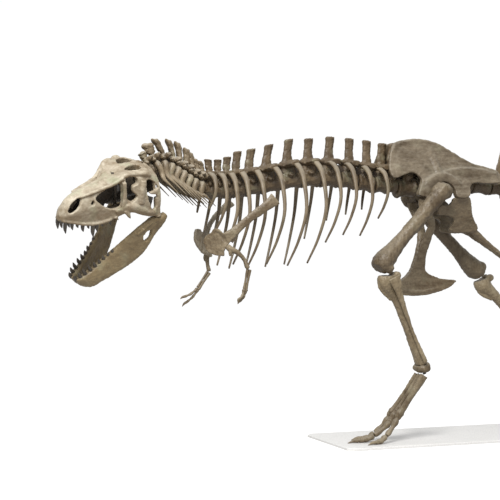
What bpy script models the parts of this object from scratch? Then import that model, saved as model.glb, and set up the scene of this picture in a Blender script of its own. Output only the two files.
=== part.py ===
"""A mounted tyrannosaur skeleton at life size, striding on a flat base.

The animal faces -X, its left side is -Y and +Z is up. Lengths are metres.
Every bone is worked out in a body frame whose zero is under the feet, straight below the
middle of the two hip joints. At the end everything is moved so that the middle of the
bounding box is at X = 0, Y = 0 and the base stands on Z = 0.
"""

import math

import bmesh
import bpy
from mathutils import Matrix, Vector

LEFT, RIGHT = -1.0, 1.0
UP = Vector((0, 0, 1))
GAP = 0.0004                             # half the air between neighbouring solids
BASE_HEIGHT = 0.030
# The bottom middle of the part's box, in the body frame.
BOX_MIDDLE = Vector((0.7832, -0.1772, -BASE_HEIGHT))

# ---- driving dimensions ----
HIP_HEIGHT = 2.95
HIP_HALF_WIDTH = 0.30
FEMUR_RADIUS = 0.078
TAIL_BONES = 30

# The backbone's middle line, from the skull's condyle to the tip of the tail.
COLUMN_POINTS = [
    (-3.672, -0.122, 2.998),
    (-3.585, -0.110, 3.072),
    (-3.430, -0.080, 3.110),
    (-3.250, -0.045, 3.030),
    (-3.070, -0.015, 2.930),
    (-2.900, 0.000, 2.885),
    (-2.620, 0.000, 2.890),
    (-2.250, 0.000, 2.945),
    (-1.750, 0.000, 3.040),
    (-1.250, 0.000, 3.055),
    (-0.700, 0.000, 3.010),
    (0.000, 0.000, 3.045),
    (0.750, 0.000, 3.035),
    (1.600, -0.018, 2.960),
    (2.800, -0.130, 2.890),
    (4.000, -0.340, 2.900),
    (5.200, -0.640, 3.000),
    (6.250, -1.000, 3.160),
]
TRUNK_FRONT_X = -2.955
SACRUM_FRONT_X = -0.53
TAIL_FRONT_X = 0.78

# Each trunk bone is longer than the one in front of it, up to the middle of the back.
FIRST_TRUNK_LENGTH = 0.105
LAST_TRUNK_LENGTH = 0.216
TRUNK_BONES = 13
NECK_BONES = 10
SACRAL_BONES = 5

# Where the skull sits: the tip of the snout, then its turn, nod and tilt.
SNOUT = Vector((-4.671, -0.508, 2.511))
SKULL_YAW = math.radians(26.9)
SKULL_PITCH = math.radians(14.3)
SKULL_ROLL = math.radians(-25.9)
JAW_GAPE = math.radians(40.0)
JAW_HINGE = (1.170, 0.305, -0.115)       # behind the snout, out from the middle, up

BONE_LOOK = ((0.45, 0.37, 0.25, 1.0), 0.75, 0.0)
STEEL_LOOK = ((0.05, 0.05, 0.05, 1.0), 0.45, 0.8)
BOARD_LOOK = ((0.80, 0.80, 0.78, 1.0), 0.6, 0.0)


# ---------------------------------------------------------------- basic shapes

def clear_scene():
    for item in list(bpy.data.objects):
        bpy.data.objects.remove(item, do_unlink=True)


def side_name(side):
    return "left" if side == LEFT else "right"


def material(name, look):
    made = bpy.data.materials.get(name)
    if made is None:
        made = bpy.data.materials.new(name)
        made.use_nodes = True
        shader = made.node_tree.nodes["Principled BSDF"]
        colour, roughness, metallic = look
        shader.inputs["Base Color"].default_value = colour
        shader.inputs["Roughness"].default_value = roughness
        shader.inputs["Metallic"].default_value = metallic
    return made


def is_flat(face):
    face.normal_update()
    middle = face.calc_center_median()
    return all(abs((vert.co - middle).dot(face.normal)) < 1e-6 for vert in face.verts)


def object_from(bm, name):
    bent = [face for face in bm.faces if len(face.verts) > 3 and not is_flat(face)]
    bmesh.ops.triangulate(bm, faces=bent)
    bmesh.ops.recalc_face_normals(bm, faces=bm.faces)
    mesh = bpy.data.meshes.new(name)
    bm.to_mesh(mesh)
    bm.free()
    made = bpy.data.objects.new(name, mesh)
    bpy.context.scene.collection.objects.link(made)
    return made


def skin(name, rings):
    """A closed solid through a row of rings with equal numbers of points. A bent side is
    split along the diagonal that starts on its first ring, the other way past half round."""
    bm = bmesh.new()
    rows = [[bm.verts.new(point) for point in ring] for ring in rings]
    for low, high in zip(rows, rows[1:]):
        for i in range(len(low)):
            j = (i + 1) % len(low)
            a, b, c, d = low[i], low[j], high[j], high[i]
            normal = (b.co - a.co).cross(d.co - a.co).normalized()
            if abs(normal.dot(c.co - a.co)) < 1e-6:
                bm.faces.new((a, b, c, d))
            elif i < len(low) // 2:
                bm.faces.new((a, b, c))
                bm.faces.new((a, c, d))
            else:
                bm.faces.new((a, b, d))
                bm.faces.new((b, c, d))
    bm.faces.new(rows[0])
    bm.faces.new(rows[-1])
    return object_from(bm, name)


def tangents(points):
    found = []
    for i in range(len(points)):
        before = points[max(i - 1, 0)]
        after = points[min(i + 1, len(points) - 1)]
        found.append((after - before).normalized())
    return found


def tube(name, stations, sides=8, across=(0, 1, 0), first_corner=0.5):
    """A bone along stations (x, y, z, half width, half depth). The half width is measured
    along the direction across, made square to the bone."""
    points = [Vector(station[:3]) for station in stations]
    rings = []
    for point, along, station in zip(points, tangents(points), stations):
        wide = Vector(across)
        wide = (wide - along * wide.dot(along)).normalized()
        deep = along.cross(wide)
        ring = []
        for k in range(sides):
            turn = math.tau * (k + first_corner) / sides
            ring.append(point + wide * station[3] * math.cos(turn)
                        + deep * station[4] * math.sin(turn))
        rings.append(ring)
    return skin(name, rings)


def spike(name, start, end, thick, thin, sides=4, across=(0, 1, 0)):
    return tube(name, [(*start, thick, thick), (*end, thin, thin)], sides, across)


def slab(name, outline, low, high):
    """An outline in X and Z, made solid from low to high in Y. low and high are numbers,
    or functions of Z."""
    def at(side, z):
        return side(z) if callable(side) else side

    rings = [[(x, at(side, z), z) for x, z in outline] for side in (low, high)]
    return skin(name, rings)


def apply_modifiers(item):
    graph = bpy.context.evaluated_depsgraph_get()
    mesh = bpy.data.meshes.new_from_object(item.evaluated_get(graph))
    item.modifiers.clear()
    item.data = mesh


def combine(base, others, operation):
    """One exact boolean of base with all of the others, which are used up."""
    group = bpy.data.collections.new("operands")
    for other in others:
        group.objects.link(other)
    step = base.modifiers.new("combine", "BOOLEAN")
    step.operation = operation
    step.solver = "EXACT"
    step.operand_type = "COLLECTION"
    step.collection = group
    apply_modifiers(base)
    bpy.data.collections.remove(group)
    for other in others:
        bpy.data.objects.remove(other, do_unlink=True)
    return base


def fuse(name, pieces):
    """All pieces joined into the one solid that they cover."""
    base = pieces[0]
    if len(pieces) > 1:
        combine(base, pieces[1:], "UNION")
    base.name = name
    return base


def cut(body, cutters):
    return combine(body, cutters, "DIFFERENCE")


def finish(item, name, look=("bone", BONE_LOOK)):
    item.name = name
    item.data.name = name
    item.data.materials.clear()
    item.data.materials.append(material(*look))
    item.data.shade_flat()
    return item


def smooth_path(points, count):
    """count points along a smooth curve through the given ones (Catmull-Rom)."""
    given = [Vector(point) for point in points]
    padded = [2 * given[0] - given[1], *given, 2 * given[-1] - given[-2]]
    found = []
    for n in range(count):
        place = n * (len(given) - 1) / (count - 1)
        k = min(int(place), len(given) - 2)
        t = place - k
        a, b, c, d = padded[k:k + 4]
        found.append(0.5 * (2 * b + (c - a) * t + (2 * a - 5 * b + 4 * c - d) * t * t
                            + (3 * b - a - 3 * c + d) * t ** 3))
    return found


def blend(low, high, share):
    """From low to high as share goes from 0 to 1, slow at both ends."""
    share = max(0.0, min(1.0, share))
    return low + (high - low) * share * share * (3 - 2 * share)


# ---------------------------------------------------------------- the backbone

class Backbone:
    """The middle line of the vertebrae, measured by its length from the skull."""

    def __init__(self):
        self.points = smooth_path(COLUMN_POINTS, 680)
        self.reach = [0.0]
        for before, after in zip(self.points, self.points[1:]):
            self.reach.append(self.reach[-1] + (after - before).length)
        self.length = self.reach[-1]

    def at_x(self, x):
        for point, reach in zip(self.points, self.reach):
            if point.x >= x:
                return reach
        return self.length

    def frame(self, reach):
        """The point, and the directions towards the tail, the animal's right and up."""
        k = 0
        while k < len(self.points) - 2 and self.reach[k + 1] < reach:
            k += 1
        step = self.reach[k + 1] - self.reach[k]
        share = max(0.0, min(1.0, (reach - self.reach[k]) / step))
        point = self.points[k].lerp(self.points[k + 1], share)
        near = self.points[max(k - 3, 0)]
        far = self.points[min(k + 4, len(self.points) - 1)]
        back = (far - near).normalized()
        if TRUNK_FRONT_X - 0.02 < point.x < TAIL_FRONT_X:
            point = Vector((point.x, 0, point.z))
            back = Vector((back.x, 0, back.z)).normalized()
        right = UP.cross(back).normalized()
        return point, back, right, back.cross(right)


BACKBONE = Backbone()


def bounds_of(section):
    """Where each vertebra of a section starts and ends, as lengths from the skull."""
    trunk, sacral = BACKBONE.at_x(TRUNK_FRONT_X), BACKBONE.at_x(SACRUM_FRONT_X)
    tail = BACKBONE.at_x(TAIL_FRONT_X)
    if section == "neck":
        start, end = 0.0, trunk
        sizes = [1.0 + 0.02 * k for k in range(NECK_BONES)]
    elif section == "trunk":
        start, end = trunk, sacral
        sizes = [blend(FIRST_TRUNK_LENGTH, LAST_TRUNK_LENGTH, (k - 0.5) / 4.6)
                 for k in range(TRUNK_BONES)]
    elif section == "sacrum":
        start, end, sizes = sacral, tail, [1.0] * SACRAL_BONES
    else:
        start, end = tail, BACKBONE.length
        sizes = [1.0 - 0.55 * k / TAIL_BONES for k in range(TAIL_BONES)]
    scale = (end - start) / sum(sizes)
    edges = [start]
    for size in sizes:
        edges.append(edges[-1] + size * scale)
    return list(zip(edges, edges[1:]))


def column_rings(bounds, section):
    """A ring across the backbone at each joint of some vertebrae. section gives the
    corners (right, up) for a share of the way along."""
    edges = [start for start, _ in bounds] + [bounds[-1][1] - 2 * GAP]
    rings = []
    for n, reach in enumerate(edges):
        point, _, right, up = BACKBONE.frame(reach)
        rings.append([point + right * a + up * b for a, b in section(n / len(bounds))])
    return rings


def plate(name, foot, top, back, side_way, foot_size, top_size, near, far):
    """A blade-like spine from foot to top. The sizes are its lengths along the back, and
    it runs from near to far across it."""
    rings = []
    for middle, length in ((foot, foot_size), (top, top_size)):
        rings.append([middle + back * length / 2 * u + side_way * v
                      for u, v in ((-1, near), (1, near), (1, far), (-1, far))])
    return skin(name, rings)


# ---------------------------------------------------------------- neck

# How far the top of each neck spine lies behind and above its vertebra's middle, from
# the second vertebra to the tenth.
NECK_SPINE_TOPS = [(-0.045, 0.195), (-0.070, 0.260), (-0.055, 0.310), (0.025, 0.330),
                   (0.058, 0.345), (0.093, 0.320), (0.052, 0.325), (0.030, 0.300),
                   (0.000, 0.310)]


def neck_section(share):
    r = 0.068 + 0.024 * share
    arch = blend(0.45, 1.0, share * 4)
    half = [(0.60 * r, -0.85 * r), (r, -0.10 * r), (0.062, 0.092 * arch),
            (0.045, 0.128 * arch)]
    return half + [(-a, b) for a, b in reversed(half)]


def neck_rib(frame, k, side):
    """A neck vertebra's side process, running on into its rib."""
    point, back, right, up = frame
    root = point + Vector((0.0, side * 0.095, -0.01))
    slim = blend(0.8, 1.2, k / 9)
    return tube("rib", [
        (*(point + up * 0.070 + right * side * 0.035), 0.030, 0.030),
        (*(point + up * 0.035 + right * side * 0.115 + back * 0.004), 0.028, 0.026 * slim),
        (*(root + Vector((0.028, side * 0.030, -0.080 * slim))), 0.017, 0.016),
        (*(root + Vector((0.150, side * 0.045, -0.215 * slim))), 0.007, 0.006)], 3,
        across=back)


def neck_part(name, first, last):
    bounds = bounds_of("neck")
    part = bounds[first:last]

    def section(share):
        return neck_section((first + share * (last - first)) / NECK_BONES)

    pieces = [skin("centra", column_rings(part, section))]
    for k in range(first, last):
        start, end = bounds[k]
        point, back, right, up = BACKBONE.frame((start + end) / 2)
        if k:
            shift, rise = NECK_SPINE_TOPS[k - 1]
            top = point + Vector((shift, 0, rise))
            size = 0.075 if k == 1 else 0.054
            pieces.append(plate("spine", point + up * 0.09, top, back, right, 0.048, size,
                                -0.024, 0.024))
        for side in (LEFT, RIGHT):
            arm = point + up * 0.070
            if k > 1:
                pieces.append(neck_rib((point, back, right, up), k, side))
            elif k:
                pieces.append(spike("process", arm + right * side * 0.035,
                                    arm + right * side * 0.130 - up * 0.050 + back * 0.02,
                                    0.034, 0.022, 3, across=back))
    return finish(fuse(name, pieces), name)


# ---------------------------------------------------------------- trunk and ribs

RIB_BONES = 12
# A rib's outline: share of its length down, share of its width out, metres to the back.
RIB_SHAPE = [(-0.01, 0.48, 0.00), (0.13, 0.86, 0.04), (0.50, 1.00, 0.04),
             (1.00, 0.76, -0.13)]
RIB_LENGTHS = [0.40, 0.62, 0.86, 1.02, 1.08, 1.08, 1.15, 1.15, 0.92, 0.82, 0.80, 0.58]
RIGHT_RIB_LENGTHS = RIB_LENGTHS[:8] + [0.85, 0.62, 0.52, 0.44]
# How far each trunk spine's top lies behind and above its vertebra's middle.
TRUNK_SPINE_TOPS = [(0.010, 0.350), (0.015, 0.355), (0.020, 0.385), (0.010, 0.440),
                    (-0.010, 0.450), (-0.015, 0.470), (0.050, 0.490), (0.035, 0.480),
                    (0.115, 0.505), (0.165, 0.505), (0.155, 0.515), (0.150, 0.505),
                    (0.055, 0.505)]


def trunk_radius(share):
    return blend(0.092, 0.104, share)


def rib_width(k):
    return blend(0.29, 0.53, k / 6) - blend(0.0, 0.14, (k - 7) / 5)


def rib(k, side, middle):
    """A rib with the side process of its vertebra, from inside the arch to its tip."""
    point, _, _, up = BACKBONE.frame(middle)
    length = (RIB_LENGTHS if side == LEFT else RIGHT_RIB_LENGTHS)[k]
    width = rib_width(k)
    stations = [(*(point + up * 0.15 + Vector((0, side * 0.025, 0))), 0.036, 0.030)]
    for n, (down, out, rear) in enumerate(RIB_SHAPE):
        place = point + Vector((rear, side * width * out, 0.19 - length * down))
        share = n / 3
        stations.append((*place, blend(0.036, 0.015, share * 1.2), blend(0.024, 0.011, share)))
    return tube("rib", stations, 4, across=(1, 0, 0))


def rib_cage(side):
    """One side of the trunk: half of each vertebra, with its rib."""
    bounds = bounds_of("trunk")
    name = "rib_cage_" + side_name(side)

    def section(share):
        r = trunk_radius(share)
        return [(side * a, b) for a, b in ((GAP, -r), (0.72 * r, -0.66 * r), (r, 0.1 * r),
                                           (0.060, 0.110), (0.046, 0.195), (GAP, 0.200))]

    pieces = [skin("centra", column_rings(bounds, section))]
    for k, (start, end) in enumerate(bounds):
        point, back, right, up = BACKBONE.frame((start + end) / 2)
        shift, rise = TRUNK_SPINE_TOPS[k]
        length = blend(0.072, 0.106, k / 6)
        pieces.append(plate("spine", point + up * 0.15,
                            point + Vector((shift, 0, rise)), Vector((1, 0, 0)), right,
                            length * 1.15, length, side * GAP, side * 0.026))
        if k < RIB_BONES:
            pieces.append(rib(k, side, (start + end) / 2))
    return finish(fuse(name, pieces), name)


# ---------------------------------------------------------------- hips

def hip_point(side):
    return Vector((0.0, side * HIP_HALF_WIDTH, HIP_HEIGHT))


def sacral_section(share):
    r = 0.086
    half = [(0.55 * r, -0.9 * r), (r, 0.0), (0.055, 0.15)]
    return half + [(-a, b) for a, b in reversed(half)]


def sacrum():
    bounds = bounds_of("sacrum")
    crest = [(-0.50, 3.08), (-0.47, 3.49), (-0.10, 3.50), (0.25, 3.40), (0.55, 3.27),
             (0.72, 3.16), (0.74, 3.07)]
    pieces = [skin("centra", column_rings(bounds, sacral_section)),
              slab("crest", crest, -0.028, 0.028)]
    for k in (0, 1, 3, 4):
        start, end = bounds[k]
        point = BACKBONE.frame((start + end) / 2)[0]
        for side in (LEFT, RIGHT):
            pieces.append(spike("sacral_rib", point + Vector((0, side * 0.05, 0.05)),
                                point + Vector((0, side * 0.150, 0.12)), 0.060, 0.062,
                                across=(1, 0, 0)))
    return finish(fuse("sacrum", pieces), "sacrum")


ILIUM_TOP = [
    (-0.70, 3.10), (-0.715, 3.22), (-0.66, 3.42), (-0.57, 3.525), (-0.30, 3.575),
    (-0.03, 3.560), (0.31, 3.440), (0.57, 3.315), (0.77, 3.225), (0.80, 3.14),
    (0.66, 3.110), (0.40, 3.120), (0.25, 3.050), (0.235, 2.900), (0.165, 2.895),
]
ILIUM_FRONT_LOW = [(-0.175, 2.865), (-0.30, 2.865), (-0.325, 2.98), (-0.27, 3.085),
                   (-0.36, 3.170), (-0.50, 3.165)]
SOCKET_RADIUS = 0.165


def ilium_middle(z):
    """How far out the hip blade stands at a height: it leans in towards its top."""
    return 0.115 + 0.29 * (3.575 - z)


def ilium(side):
    arch = []
    for k in range(1, 6):
        turn = math.radians(-20 + 37 * k)
        arch.append((SOCKET_RADIUS * math.cos(turn), HIP_HEIGHT + SOCKET_RADIUS * math.sin(turn)))

    def inner(z):
        return side * (ilium_middle(z) - blend(0.052, 0.022, (z - 2.9) / 0.3))

    def outer(z):
        return side * (ilium_middle(z) + blend(0.036, 0.022, (z - 2.9) / 0.3))

    name = "ilium_" + side_name(side)
    return finish(slab(name, ILIUM_TOP + arch + ILIUM_FRONT_LOW, inner, outer), name)


def pubis():
    """The two pubes, which grow together at the long boot below."""
    boot = [(-0.575, 1.775), (-0.46, 1.700), (-0.25, 1.690), (-0.02, 1.715), (0.20, 1.790),
            (0.300, 1.872), (0.17, 1.885), (0.02, 1.915), (-0.12, 1.985), (-0.155, 2.10),
            (-0.26, 2.10), (-0.33, 1.975), (-0.44, 1.880)]
    pieces = [slab("boot", boot, -0.045, 0.045)]
    for side in (LEFT, RIGHT):
        stations = [
            (-0.160, side * 0.262, 2.848, 0.045, 0.058),
            (-0.150, side * 0.232, 2.73, 0.038, 0.050),
            (-0.120, side * 0.165, 2.58, 0.034, 0.050),
            (-0.125, side * 0.100, 2.40, 0.032, 0.046),
            (-0.175, side * 0.045, 2.20, 0.035, 0.056),
            (-0.215, side * 0.028, 2.02, 0.030, 0.090),
        ]
        pieces.append(tube("shaft", stations, 6))
    return finish(fuse("pubis", pieces), "pubis")


def ischium(side):
    plate_outline = [(0.115, 2.850), (0.215, 2.888), (0.35, 2.84), (0.43, 2.66),
                     (0.55, 2.50), (0.42, 2.46), (0.16, 2.475), (0.20, 2.60), (0.12, 2.70)]

    def lean(z):
        return 0.290 - 0.46 * (2.89 - z)

    sheet = slab("plate", plate_outline, lambda z: side * (lean(z) - 0.022),
                 lambda z: side * (lean(z) + 0.024))
    stations = [
        (0.40, side * 0.130, 2.56, 0.020, 0.075),
        (0.58, side * 0.075, 2.44, 0.022, 0.045),
        (0.80, side * 0.048, 2.29, 0.022, 0.034),
        (1.25, side * 0.036, 2.01, 0.018, 0.028),
    ]
    name = "ischium_" + side_name(side)
    return finish(fuse(name, [sheet, tube("shaft", stations, 6)]), name)


# ---------------------------------------------------------------- tail

TAIL_PARTS = {"tail_base": (0, 6), "tail_front": (6, 13), "tail_rear": (13, 21),
              "tail_tip": (21, TAIL_BONES)}


def tail_radius(share):
    return 0.016 + 0.084 * (1 - share) ** 1.05


def tail_piece(kind, share, bounds):
    """A tail vertebra's spine, chevron or side processes, as a list of solids."""
    start, end = bounds
    length = end - start
    size = tail_radius(share)
    point, back, right, up = BACKBONE.frame((start + end) / 2)
    if kind == "spine":
        rise = blend(0.36, 0.0, share * 1.12) + size * 1.15
        return [plate("spine", point + up * size * 0.5, point + up * rise + back * 0.25 * length,
                      back, right, length * 0.52, length * 0.40, -size * 0.24, size * 0.24)]
    if kind == "chevron":
        drop = blend(0.36, 0.03, share * 1.15) + size * 0.3
        root = point + back * length * 0.30 - up * size * 0.72
        foot = root - up * drop + back * (0.04 + length * 0.22)
        return [tube("chevron", [(*root, size * 0.26, size * 0.32),
                                 (*foot, size * 0.16, size * 0.36)], 3)]
    out = blend(0.20, 0.02, share * 2.3) + size
    arm = point + up * size * 0.35
    return [spike("process", arm + right * side * size * 0.5,
                  arm + right * side * out + back * 0.04, length * 0.22, length * 0.15,
                  across=back) for side in (LEFT, RIGHT)]


def tail_part(name, first, last):
    bounds = bounds_of("tail")
    corners = 6 if first < 13 else 5

    def section(share):
        r = tail_radius((first + share * (last - first)) / TAIL_BONES)
        return [(r * math.sin(math.tau * (k + 0.5) / corners),
                 r * math.cos(math.tau * (k + 0.5) / corners)) for k in range(corners)]

    pieces = [skin("centra", column_rings(bounds[first:last], section))]
    for k in range(first, last):
        share = k / TAIL_BONES
        if share < 0.60:
            pieces += tail_piece("spine", share, bounds[k])
        if 0.02 < share < 0.52:
            pieces += tail_piece("chevron", share, bounds[k])
        if share < 0.22:
            pieces += tail_piece("process", share, bounds[k])
    return finish(fuse(name, pieces), name)


# ---------------------------------------------------------------- skull

def skull_axes():
    """The skull's directions: to the snout, to its left and up."""
    front = Vector((-math.cos(SKULL_YAW) * math.cos(SKULL_PITCH),
                    -math.sin(SKULL_YAW) * math.cos(SKULL_PITCH), -math.sin(SKULL_PITCH)))
    level = UP.cross(front).normalized()
    steep = front.cross(level)
    left = level * math.cos(SKULL_ROLL) + steep * math.sin(SKULL_ROLL)
    return front, left, front.cross(left)


def skull_place(behind, left, up):
    """A point of the skull: behind the snout's tip, to its left and above its base line."""
    front, side, top = skull_axes()
    return SNOUT - front * behind + side * left + top * up


def jaw_place(ahead, left, up):
    """A point of the lower jaw: ahead of its hinge, to its left and up, mouth closed."""
    c, s = math.cos(JAW_GAPE), math.sin(JAW_GAPE)
    return skull_place(JAW_HINGE[0] - ahead * c - up * s, left,
                       JAW_HINGE[2] + up * c - ahead * s)


# Skull sections: behind the snout, then half width and height of the tooth margin, the
# cheek and the brow, and the height of the roof's middle.
SKULL_SECTIONS = [
    (0.000, (0.030, -0.048), (0.035, -0.010), (0.022, 0.015), 0.022),
    (0.050, (0.065, -0.045), (0.075, 0.030), (0.045, 0.085), 0.100),
    (0.140, (0.095, -0.062), (0.105, 0.065), (0.060, 0.165), 0.185),
    (0.265, (0.120, -0.098), (0.130, 0.080), (0.068, 0.215), 0.235),
    (0.394, (0.140, -0.119), (0.145, 0.090), (0.072, 0.240), 0.258),
    (0.514, (0.165, -0.115), (0.160, 0.100), (0.080, 0.275), 0.292),
    (0.620, (0.195, -0.085), (0.185, 0.120), (0.100, 0.325), 0.330),
    (0.715, (0.245, -0.022), (0.215, 0.150), (0.175, 0.400), 0.352),
    (0.800, (0.285, -0.002), (0.260, 0.160), (0.195, 0.402), 0.405),
    (0.900, (0.310, -0.040), (0.300, 0.160), (0.215, 0.408), 0.440),
    (1.030, (0.330, -0.082), (0.322, 0.150), (0.225, 0.395), 0.430),
    (1.165, (0.340, -0.088), (0.315, 0.150), (0.215, 0.325), 0.405),
]
# The hollow inside it, open below and behind: thick at the back, where the brain sat.
HOLLOW_SECTIONS = [
    (0.405, (0.090, -0.300), (0.112, 0.097), (0.045, 0.205), 0.222),
    (0.531, (0.115, -0.300), (0.130, 0.107), (0.052, 0.240), 0.258),
    (0.634, (0.145, -0.300), (0.155, 0.127), (0.070, 0.288), 0.292),
    (0.727, (0.195, -0.300), (0.185, 0.143), (0.140, 0.352), 0.300),
    (0.814, (0.235, -0.300), (0.230, 0.153), (0.165, 0.345), 0.250),
    (0.914, (0.260, -0.300), (0.270, 0.153), (0.190, 0.290), 0.190),
    (1.044, (0.280, -0.300), (0.292, 0.143), (0.190, 0.280), 0.180),
    (1.072, (0.282, -0.300), (0.290, 0.143), (0.190, 0.278), 0.180),
    (1.090, (0.284, -0.300), (0.288, 0.143), (0.182, 0.330), 0.375),
    (1.252, (0.290, -0.300), (0.285, 0.143), (0.180, 0.280), 0.362),
]


def skull_ring(section):
    behind, margin, cheek, brow, roof = section
    half = [margin, cheek, brow]
    ring = half + [(0.0, roof)] + [(-y, z) for y, z in reversed(half)]
    return [skull_place(behind, y, z) for y, z in ring]


def skull_cutter(outline, near, far):
    """A cutter through a cheek, from near to far out. outline is in behind and up."""
    return skin("window", [[skull_place(b, y, z) for b, z in outline]
                           for y in (near, far)])


def oval(centre, half_length, half_height, tilt, count=8):
    """An oval outline, turned by tilt degrees."""
    c, s = math.cos(math.radians(tilt)), math.sin(math.radians(tilt))
    found = []
    for k in range(count):
        turn = math.tau * k / count
        a, b = half_length * math.cos(turn), half_height * math.sin(turn)
        found.append((centre[0] + a * c - b * s, centre[1] + a * s + b * c))
    return found


NOSTRIL = oval((0.163, 0.130), 0.090, 0.040, 33, 6)
ANTORBITAL = [(0.412, 0.180), (0.487, 0.238), (0.580, 0.290), (0.690, 0.328),
              (0.700, 0.090), (0.640, 0.040), (0.560, 0.055), (0.460, 0.118)]
ORBIT = [(0.745, 0.370), (0.835, 0.368), (0.842, 0.305), (0.792, 0.282), (0.788, 0.222),
         (0.838, 0.171), (0.795, 0.121), (0.742, 0.172), (0.735, 0.270)]
CHEEK_WINDOW = [(0.970, 0.320), (1.040, 0.310), (1.118, 0.250), (1.105, 0.205),
                (1.045, 0.180), (1.105, 0.080), (1.108, 0.000), (1.050, -0.010),
                (0.975, 0.150)]
MAXILLARY = oval((0.378, 0.128), 0.030, 0.022, 60, 5)

# The two windows of the roof, as behind and out.
UPPER_WINDOW = [(0.880, 0.055), (1.045, 0.045), (1.040, 0.135), (0.960, 0.165),
                (0.885, 0.130)]

# Upper teeth: behind the snout, how far out, length.
UPPER_TEETH = [(0.022, 0.038, 0.060), (0.070, 0.067, 0.085), (0.140, 0.088, 0.070),
               (0.210, 0.103, 0.075), (0.290, 0.120, 0.065), (0.380, 0.132, 0.120),
               (0.450, 0.144, 0.120), (0.540, 0.165, 0.070)]


def margin_height(behind):
    for low, high in zip(SKULL_SECTIONS, SKULL_SECTIONS[1:]):
        if low[0] <= behind <= high[0]:
            share = (behind - low[0]) / (high[0] - low[0])
            return low[1][1] + (high[1][1] - low[1][1]) * share
    return 0.0


def tooth(root, tip, size):
    return spike("tooth", root, tip, size, size * 0.15, 3, across=(1, 0.3, 0))


def skull_shell():
    """The skull's outer walls, hollow behind the mouth, with all of its windows."""
    shell = skin("shell", [skull_ring(section) for section in SKULL_SECTIONS])
    cutters = [skin("hollow", [skull_ring(section) for section in HOLLOW_SECTIONS]),
               skull_cutter(NOSTRIL, -0.4, 0.4)]
    for side in (LEFT, RIGHT):
        cutters.append(skin("upper_window", [
            [skull_place(b, side * y, z) for b, y in UPPER_WINDOW] for z in (0.25, 0.60)]))
        cutters += [skull_cutter(ANTORBITAL, side * 0.030, side * 0.6),
                    skull_cutter(ORBIT, side * 0.130, side * 0.6),
                    skull_cutter(CHEEK_WINDOW, side * 0.145, side * 0.6),
                    skull_cutter(MAXILLARY, side * 0.070, side * 0.6)]
    return cut(shell, cutters)


def skull():
    left = skull_axes()[1]
    pieces = [skull_shell()]
    pieces.append(tube("condyle", [
        (*skull_place(1.06, 0, 0.225), 0.055, 0.050), (*skull_place(1.115, 0, 0.205), 0.040, 0.040)],
        6, across=left))
    for side in (LEFT, RIGHT):
        pieces.append(tube("quadrate", [
            (*skull_place(1.115, side * 0.292, 0.12), 0.026, 0.026),
            (*skull_place(1.150, side * 0.305, -0.060), 0.042, 0.035),
            (*skull_place(1.155, side * 0.305, -0.104), 0.052, 0.042)], 4, across=left))
        for behind, out, length in UPPER_TEETH:
            margin = margin_height(behind)
            root = skull_place(behind, side * (out - 0.017), margin + 0.030)
            tip = skull_place(behind + 0.015, side * (out - 0.010), margin - length)
            pieces.append(tooth(root, tip, 0.019))
    return finish(fuse("skull", pieces), "skull")


# Lower jaw sections: ahead of the hinge, out from the middle, height of the upper and
# lower edges, half thickness.
JAW_SECTIONS = [
    (-0.085, 0.305, -0.045, -0.100, 0.022),
    (-0.010, 0.305, -0.016, -0.120, 0.036),
    (0.065, 0.303, 0.055, -0.130, 0.028),
    (0.170, 0.290, 0.085, -0.145, 0.022),
    (0.350, 0.255, 0.085, -0.222, 0.024),
    (0.500, 0.215, 0.065, -0.240, 0.028),
    (0.640, 0.175, 0.038, -0.224, 0.032),
    (0.780, 0.138, 0.012, -0.198, 0.034),
    (0.920, 0.100, -0.008, -0.200, 0.036),
    (1.030, 0.066, 0.006, -0.180, 0.038),
    (1.105, 0.030, 0.030, -0.090, 0.024),
]
JAW_LEAN = 0.020                         # how far the edges lean, the upper one inwards
LOWER_TEETH = [(1.075, 0.050), (1.020, 0.075), (0.950, 0.085), (0.875, 0.078),
               (0.800, 0.065), (0.720, 0.052), (0.630, 0.045)]


def jaw_line(ahead):
    """How far out, and how high, the tooth row is at a distance ahead of the hinge."""
    for low, high in zip(JAW_SECTIONS, JAW_SECTIONS[1:]):
        if low[0] <= ahead <= high[0]:
            share = (ahead - low[0]) / (high[0] - low[0])
            lean = JAW_LEAN * max(0.0, min(1.0, (1.05 - ahead) / 0.3))
            return (low[1] + (high[1] - low[1]) * share - lean,
                    low[2] + (high[2] - low[2]) * share)
    return JAW_SECTIONS[-1][1], JAW_SECTIONS[-1][2]


def jaw(side):
    """One half of the lower jaw. Its side is the skull's, whose left is +."""
    rings = []
    for ahead, out, top, bottom, thick in JAW_SECTIONS:
        middle = (top + bottom) / 2
        inner, outer = max(out - thick, GAP), out + thick
        lean = JAW_LEAN * max(0.0, min(1.0, ahead / 0.3, (1.05 - ahead) / 0.3))
        section = [(outer + lean, bottom), (outer + 0.008, middle), (outer - lean, top),
                   (inner - lean, top), (inner + 0.008, middle), (inner + lean, bottom)]
        rings.append([jaw_place(ahead, side * y, z) for y, z in section])
    slot = [(0.175, -0.062), (0.232, -0.057), (0.288, -0.092), (0.228, -0.102)]
    cutter = skin("slot", [[jaw_place(a, side * y, z) for a, z in slot] for y in (0.18, 0.45)])
    pieces = [cut(skin("jaw", rings), [cutter])]
    for ahead, length in LOWER_TEETH:
        out, top = jaw_line(ahead)
        pieces.append(tooth(jaw_place(ahead, side * (out + 0.004), top - 0.02),
                            jaw_place(ahead - 0.010, side * (out + 0.010), top + length), 0.017))
    name = "jaw_left" if side > 0 else "jaw_right"
    return finish(fuse(name, pieces), name)


# ---------------------------------------------------------------- arms

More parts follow.
